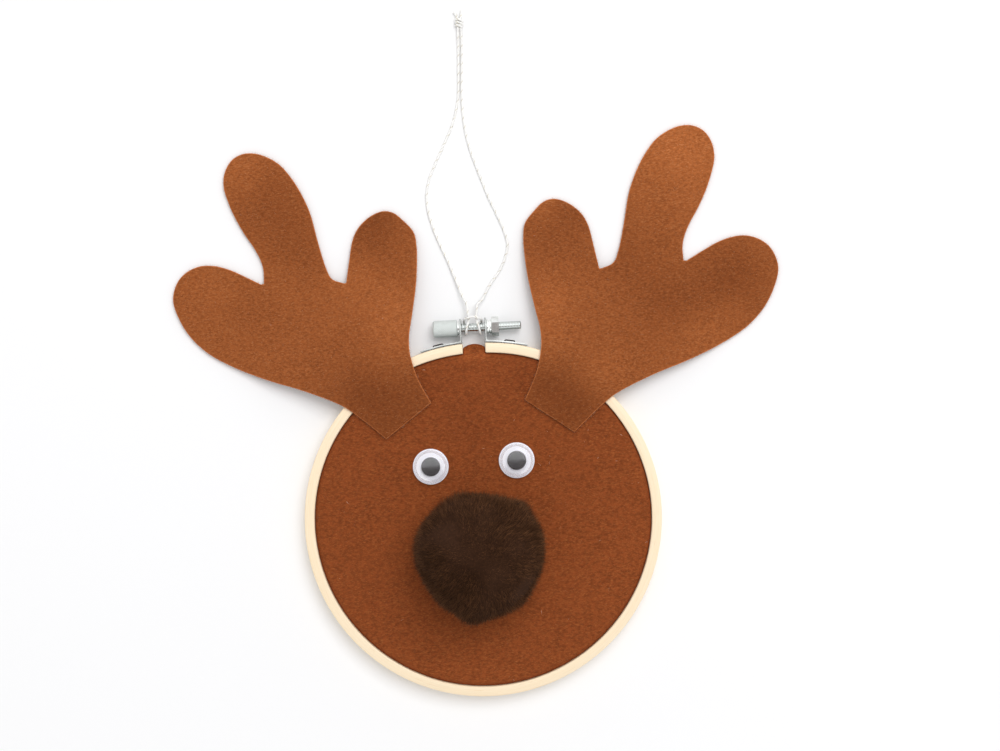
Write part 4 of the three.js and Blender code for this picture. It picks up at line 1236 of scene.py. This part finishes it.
# %% Staples
# all in mm
WIRE_RADIUS, CORNER = 0.32, 0.5
CROWN_RADIUS, CROWN_HALF, LEG_TIP, STAPLE_HEIGHT = 83.8, 2.3, 79.3, 4.75
STAPLE_ANGLE = (HALF_GAP + 11.4) / OUTER_HOOP[1]
leg, half_crown = CROWN_RADIUS - CORNER - LEG_TIP, CROWN_HALF - CORNER
for side, sign, body in CLAMP_SIDES:
    deselect_all()
    bpy.ops.mesh.primitive_circle_add(
        vertices=10, radius=WIRE_RADIUS * MM, fill_type="NGON", rotation=(math.pi / 2, 0, 0),
        location=Vector((-CROWN_HALF, LEG_TIP, STAPLE_HEIGHT)) * MM)
    staple = named(f"{side}_wire_staple")
    choose(staple, "faces")
    for run, corner in (((0, leg, 0), -1), ((2 * half_crown, 0, 0), 1), ((0, -leg, 0), None)):
        bpy.ops.mesh.extrude_region_move(TRANSFORM_OT_translate={"value": [part * MM for part in run]})
        if corner:
            turn_at = Vector((corner * half_crown, CROWN_RADIUS - CORNER, STAPLE_HEIGHT)) * MM
            bpy.ops.mesh.spin(steps=5, angle=math.pi / 2, center=turn_at, axis=(0, 0, 1))
    choose(staple, "verts")
    bpy.ops.mesh.remove_doubles(threshold=0.005 * MM)
    deselect_all()
    staple.data.transform(Matrix.Translation(HOOP_MIDDLE) @ Matrix.Rotation(-sign * STAPLE_ANGLE, 4, "Z"))
    lay_like_hoop(staple)
    finish_piece(staple, body, wire, (f"{side}_staple",))

# %% [markdown]
# The screw's rod is threaded M4 by 0.7, and its knob is knurled so that fingers grip it. Both are a finely
# divided cylinder whose points move in or out by a formula: a ridge that climbs one pitch in a turn for the
# thread, and two crossing sets of ridges for the knurl.

# %% Divided cylinder
def turned_rod(name, start, end, radius, vertices, chamfer, cuts):
    """A cylinder along the screw's axis from one x to another, in mm, with chamfered ends."""
    deselect_all()
    bpy.ops.mesh.primitive_cylinder_add(
        vertices=vertices, radius=radius * MM, depth=(end - start) * MM,
        location=place((start + end) / 2, SCREW_AXIS[1], SCREW_AXIS[2]), rotation=(0, math.pi / 2, 0))
    rod = named(name)
    choose(rod, "edges", lambda edge: run_of(edge, 0) < SAME)
    bpy.ops.mesh.bevel(offset=chamfer * MM, segments=1, affect="EDGES")
    choose(rod, "edges", lambda edge: run_of(edge, 0) > (end - start) / 2 * MM)
    bpy.ops.mesh.subdivide(number_cuts=cuts)
    deselect_all()
    return rod


def move_surface(rod, radius, change):
    """Moves each point near the rod's own radius, in mm, by a function of its x and its angle."""
    axis = place(*SCREW_AXIS)
    where = points_of(rod)
    y, z = where[:, 1] - axis.y, where[:, 2] - axis.z
    distance = np.hypot(y, z)
    moved = distance > (radius - 0.02) * MM
    factor = np.where(moved, 1 + change(where[:, 0] / MM, np.arctan2(z, y)) / radius, 1)
    where[:, 1], where[:, 2] = axis.y + y * factor, axis.z + z * factor
    move_points(rod, where)


def ridge(turns):
    """0 in a groove and 1 on a ridge, once for each whole number."""
    return 1 - np.abs((turns % 1) * 2 - 1)


# %% Screw
# all in mm
EAR_OUTER, ROD_RADIUS, KNOB_RADIUS, SHOULDER_RADIUS = 6.1, 2.0, 3.9, 3.3
SHOULDER_END = -EAR_OUTER - 0.3
KNOB_END = SHOULDER_END - 0.7
KNOB_START = KNOB_END - 11.4
ROD_END = SHOULDER_END + 28.7
THREAD_PITCH, THREAD_DEPTH = 0.7, 0.1
KNURLS, KNURL_PITCH, KNURL_DEPTH = 28, 0.87, 0.12


def thread_groove(x, angle):
    climb = x / THREAD_PITCH + angle / (2 * math.pi)
    return -THREAD_DEPTH * (1 - smooth_step(ridge(climb)))


def knurl_groove(x, angle):
    around, along = angle * KNURLS / (2 * math.pi), x / KNURL_PITCH
    return -KNURL_DEPTH * (1 - np.minimum(ridge(around + along), ridge(around - along)) * 1.6)


thread = turned_rod("screw_thread", SHOULDER_END - 0.3, ROD_END, ROD_RADIUS, 28, 0.4, 300)
move_surface(thread, ROD_RADIUS, thread_groove)
knob = turned_rod("screw_knob", KNOB_START, KNOB_END, KNOB_RADIUS, 168, 0.5, 84)
move_surface(knob, KNOB_RADIUS, knurl_groove)
shoulder = turned_rod("screw_shoulder", KNOB_END - 0.3, SHOULDER_END, SHOULDER_RADIUS, 48, 0.12, 1)
choose(knob, "faces", lambda face: face.normal.x < -0.99 and face.calc_area() > 10 * MM * MM)
inset_faces(0.9, (0.25, 0, 0))
finish_piece(knob, "screw", knurled_zinc, ("clamp_screw",), angle=25)
finish_piece(thread, "screw", threaded_zinc, angle=25)
finish_piece(shoulder, "screw", zinc)

# %% [markdown]
# The collar is a short tube: both ends of a cylinder are inset to the bore and bridged. A shallow groove
# runs round it. The nut is a six-sided bar cut by a chamfered round one, which leaves the curved corners
# that every pressed nut has, and then bored.

# %% Collar and nut
# all in mm but the turn
COLLAR_START, COLLAR_END, NUT_END = 6.4, 8.6, 12.0
COLLAR_RADIUS, COLLAR_CHAMFER, BORE = 3.5, 0.18, 2.3
GROOVE = 0.93  # what is left of the radius in it
ACROSS_FLATS, NUT_CHAMFER = 8.0, 0.5
ACROSS_CORNERS = 2 * ACROSS_FLATS / math.sqrt(3)
NUT_TURN = 8  # degrees: it was tightened, not lined up
axis_place = place(*SCREW_AXIS)


def at_x(vert, x, near):
    """Whether a point is at an x in mm, to within some metres."""
    return abs(vert.co.x - place(x, 0, 0).x) < near


collar = turned_rod("round_collar", COLLAR_START, COLLAR_END, COLLAR_RADIUS, 48, COLLAR_CHAMFER, 3)
choose(collar, "verts", lambda vert: at_x(vert, (COLLAR_START + COLLAR_END) / 2, 0.2 * MM))
bpy.ops.transform.resize(value=(1, GROOVE, GROOVE), center_override=axis_place)
choose(collar, "faces", lambda face: abs(face.normal.x) > 0.99 and face.calc_area() > 10 * MM * MM)
bpy.ops.mesh.inset(thickness=(COLLAR_RADIUS - COLLAR_CHAMFER - BORE) * MM)
bpy.ops.mesh.bridge_edge_loops()
finish_piece(collar, "clamp_end", zinc, ("nut_collar",))

nut = turned_rod("hexagon_nut", COLLAR_END, NUT_END, ACROSS_CORNERS / 2, 6, 0.02, 1)
hex_corner = nut.data.vertices[0].co - axis_place
turn = math.radians(NUT_TURN) - math.atan2(hex_corner.z, hex_corner.y)
axis = Matrix.Translation(axis_place)
nut.data.transform(axis @ Matrix.Rotation(turn, 4, "X") @ axis.inverted())
chamfered = turned_rod("nut_cutter", COLLAR_END, NUT_END, ACROSS_CORNERS / 2 + 0.02, 64, 0.01, 1)
choose(chamfered, "edges", lambda edge: run_of(edge, 0) < SAME
       and any(at_x(edge.verts[0], end, SAME) for end in (COLLAR_END, NUT_END)))
bpy.ops.mesh.bevel(offset=NUT_CHAMFER * MM, segments=1, affect="EDGES")
bore = turned_rod("nut_bore", COLLAR_END - 1, NUT_END + 1, BORE, 32, 0.1, 1)
for cutter, way in ((chamfered, "INTERSECT"), (bore, "DIFFERENCE")):
    deselect_all()
    apply_modifier(nut, "BOOLEAN", object=cutter, operation=way, solver="EXACT")
    bpy.data.objects.remove(cutter)
finish_piece(nut, "clamp_end", zinc, ("clamp_nut",), angle=25)

# %% [markdown]
# ## Glue
# Under the eyes, the nose and the antlers' bases there is dried craft glue. Its solids keep their form and
# get a milky, slightly see-through finish.

# %% Glue
glue = mottled(
    "dried craft glue", 2, 2, "#ddd6c4", "#efeade", Roughness=0.3, Subsurface_Weight=0.3,
    Subsurface_Scale=0.001)
for node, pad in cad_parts.items():
    if node.endswith("_glue"):
        pad.data.materials.clear()
        pad.data.materials.append(glue)

# %% [markdown]
# ## Table and light
# The table is plain white. It takes the ornament's soft shadow, and a little of its own light, seen only by
# the camera, in mirrors and through clear plastic, brings its open parts to pure white. The light is a
# large soft window above and a little to the right, with an even pale sky all round.

# %% Table
WHITE = (1, 1, 1, 1)


def seen_by(tree):
    """Whether a ray comes from a mirror, and whether from the camera, straight or through clear plastic."""
    rays = add_node(tree, "LightPath").outputs
    in_sight = add_node(
        tree, "Math", {0: rays["Is Camera Ray"], 1: rays["Is Transmission Ray"]}, operation="MAXIMUM")
    return rays["Is Glossy Ray"], in_sight.outputs[0]


deselect_all()
bpy.ops.mesh.primitive_plane_add(size=6)
table = named("table_top")
white_table, tree, shader = new_material(
    "white painted board", Base_Color=linear("#f7f7f8"), Roughness=0.9, Specular_IOR_Level=0.1,
    Emission_Color=WHITE)
mirrored, in_sight = seen_by(tree)
glow = add_node(tree, "Math", {0: in_sight, 1: 0.03}, operation="MULTIPLY").outputs[0]
glow = add_node(tree, "Math", {0: mirrored, 1: 0.2, 2: glow}, operation="MULTIPLY_ADD").outputs[0]
tree.links.new(glow, shader.inputs["Emission Strength"])
table.data.materials.append(white_table)
table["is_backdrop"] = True

# %% Light
SKY_LIGHT, SKY_SEEN, SKY_MIRRORED = 0.68, 1.0, 0.7
world = bpy.context.scene.world or bpy.data.worlds.new("world")
bpy.context.scene.world = world
world.use_nodes = True
tree = world.node_tree
tree.nodes.clear()
mirrored, in_sight = seen_by(tree)
strength = add_node(
    tree, "MapRange", {"Value": in_sight, "To Min": SKY_LIGHT, "To Max": SKY_SEEN}).outputs[0]
strength = add_node(
    tree, "Math", {0: mirrored, 1: SKY_MIRRORED, 2: strength}, operation="MULTIPLY_ADD").outputs[0]
sky = add_node(tree, "Background", {"Color": WHITE, "Strength": strength}).outputs[0]
add_node(tree, "OutputWorld", {"Surface": sky})

WINDOW = Vector((0.6, 0.95, 2.1))
WINDOW_SIZE = 1.5
deselect_all()
bpy.ops.object.light_add(type="AREA", location=WINDOW)
window = bpy.context.object
window.name = "window_light"
window.data.size = WINDOW_SIZE
window.data.energy = 27.5
window.rotation_euler = (-WINDOW).to_track_quat("-Z", "Y").to_euler()
window.visible_camera = window.visible_glossy = False
print("window", WINDOW_SIZE, "m across, its lamp", window.data.energy, "W")

# %% [markdown]
# Mirrored in the pupils and the metal, the bare lamp would be a glaring white patch. A pane of the same
# size, seen only in reflections and not much brighter than the sky, stands in for it there.

# %% Window pane
def show_in_mirrors(piece, material):
    """Keeps a part of the stage out of everything but reflections."""
    piece.data.materials.append(material)
    piece.visible_camera = piece.visible_diffuse = piece.visible_shadow = piece.visible_transmission = False
    piece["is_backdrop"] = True


deselect_all()
bpy.ops.mesh.primitive_plane_add(size=WINDOW_SIZE, location=WINDOW, rotation=window.rotation_euler)
lit_pane, tree, shader = new_material(
    "curtained window", Base_Color=(0, 0, 0, 1), Specular_IOR_Level=0, Emission_Color=WHITE,
    Emission_Strength=2.5)
show_in_mirrors(named("window_pane"), lit_pane)

# %% [markdown]
# A photographer stands at the near side and leans over the table with the camera, and shows as a dark shape
# in all that shines: as the lower half of each pupil and as a dark line along the screw. A dark card, seen
# only in reflections, stands for them. It gives no light and casts no shadow.

# %% Dark card
deselect_all()
bpy.ops.mesh.primitive_plane_add(size=1, location=(0, -0.47, 1.25))
bpy.context.object.scale = (1.1, 0.8, 1)
grey_card, tree, shader = new_material("grey card", Base_Color=linear("#b0a8a5"), Roughness=1)
show_in_mirrors(named("dark_card"), grey_card)

bpy.context.scene.view_settings.view_transform = "Standard"

# %% [markdown]
# ## Sizes and the end
# The box of the imported model and the box of what we made are gathered side by side, and the second is
# printed.

# %% Sizes
low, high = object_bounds()
sizes = {
    "cad": [list(cad_low), list(cad_high)],
    "visual": [list(low), list(high)],
}
print("box", [round(v, 4) for v in low], [round(v, 4) for v in high])
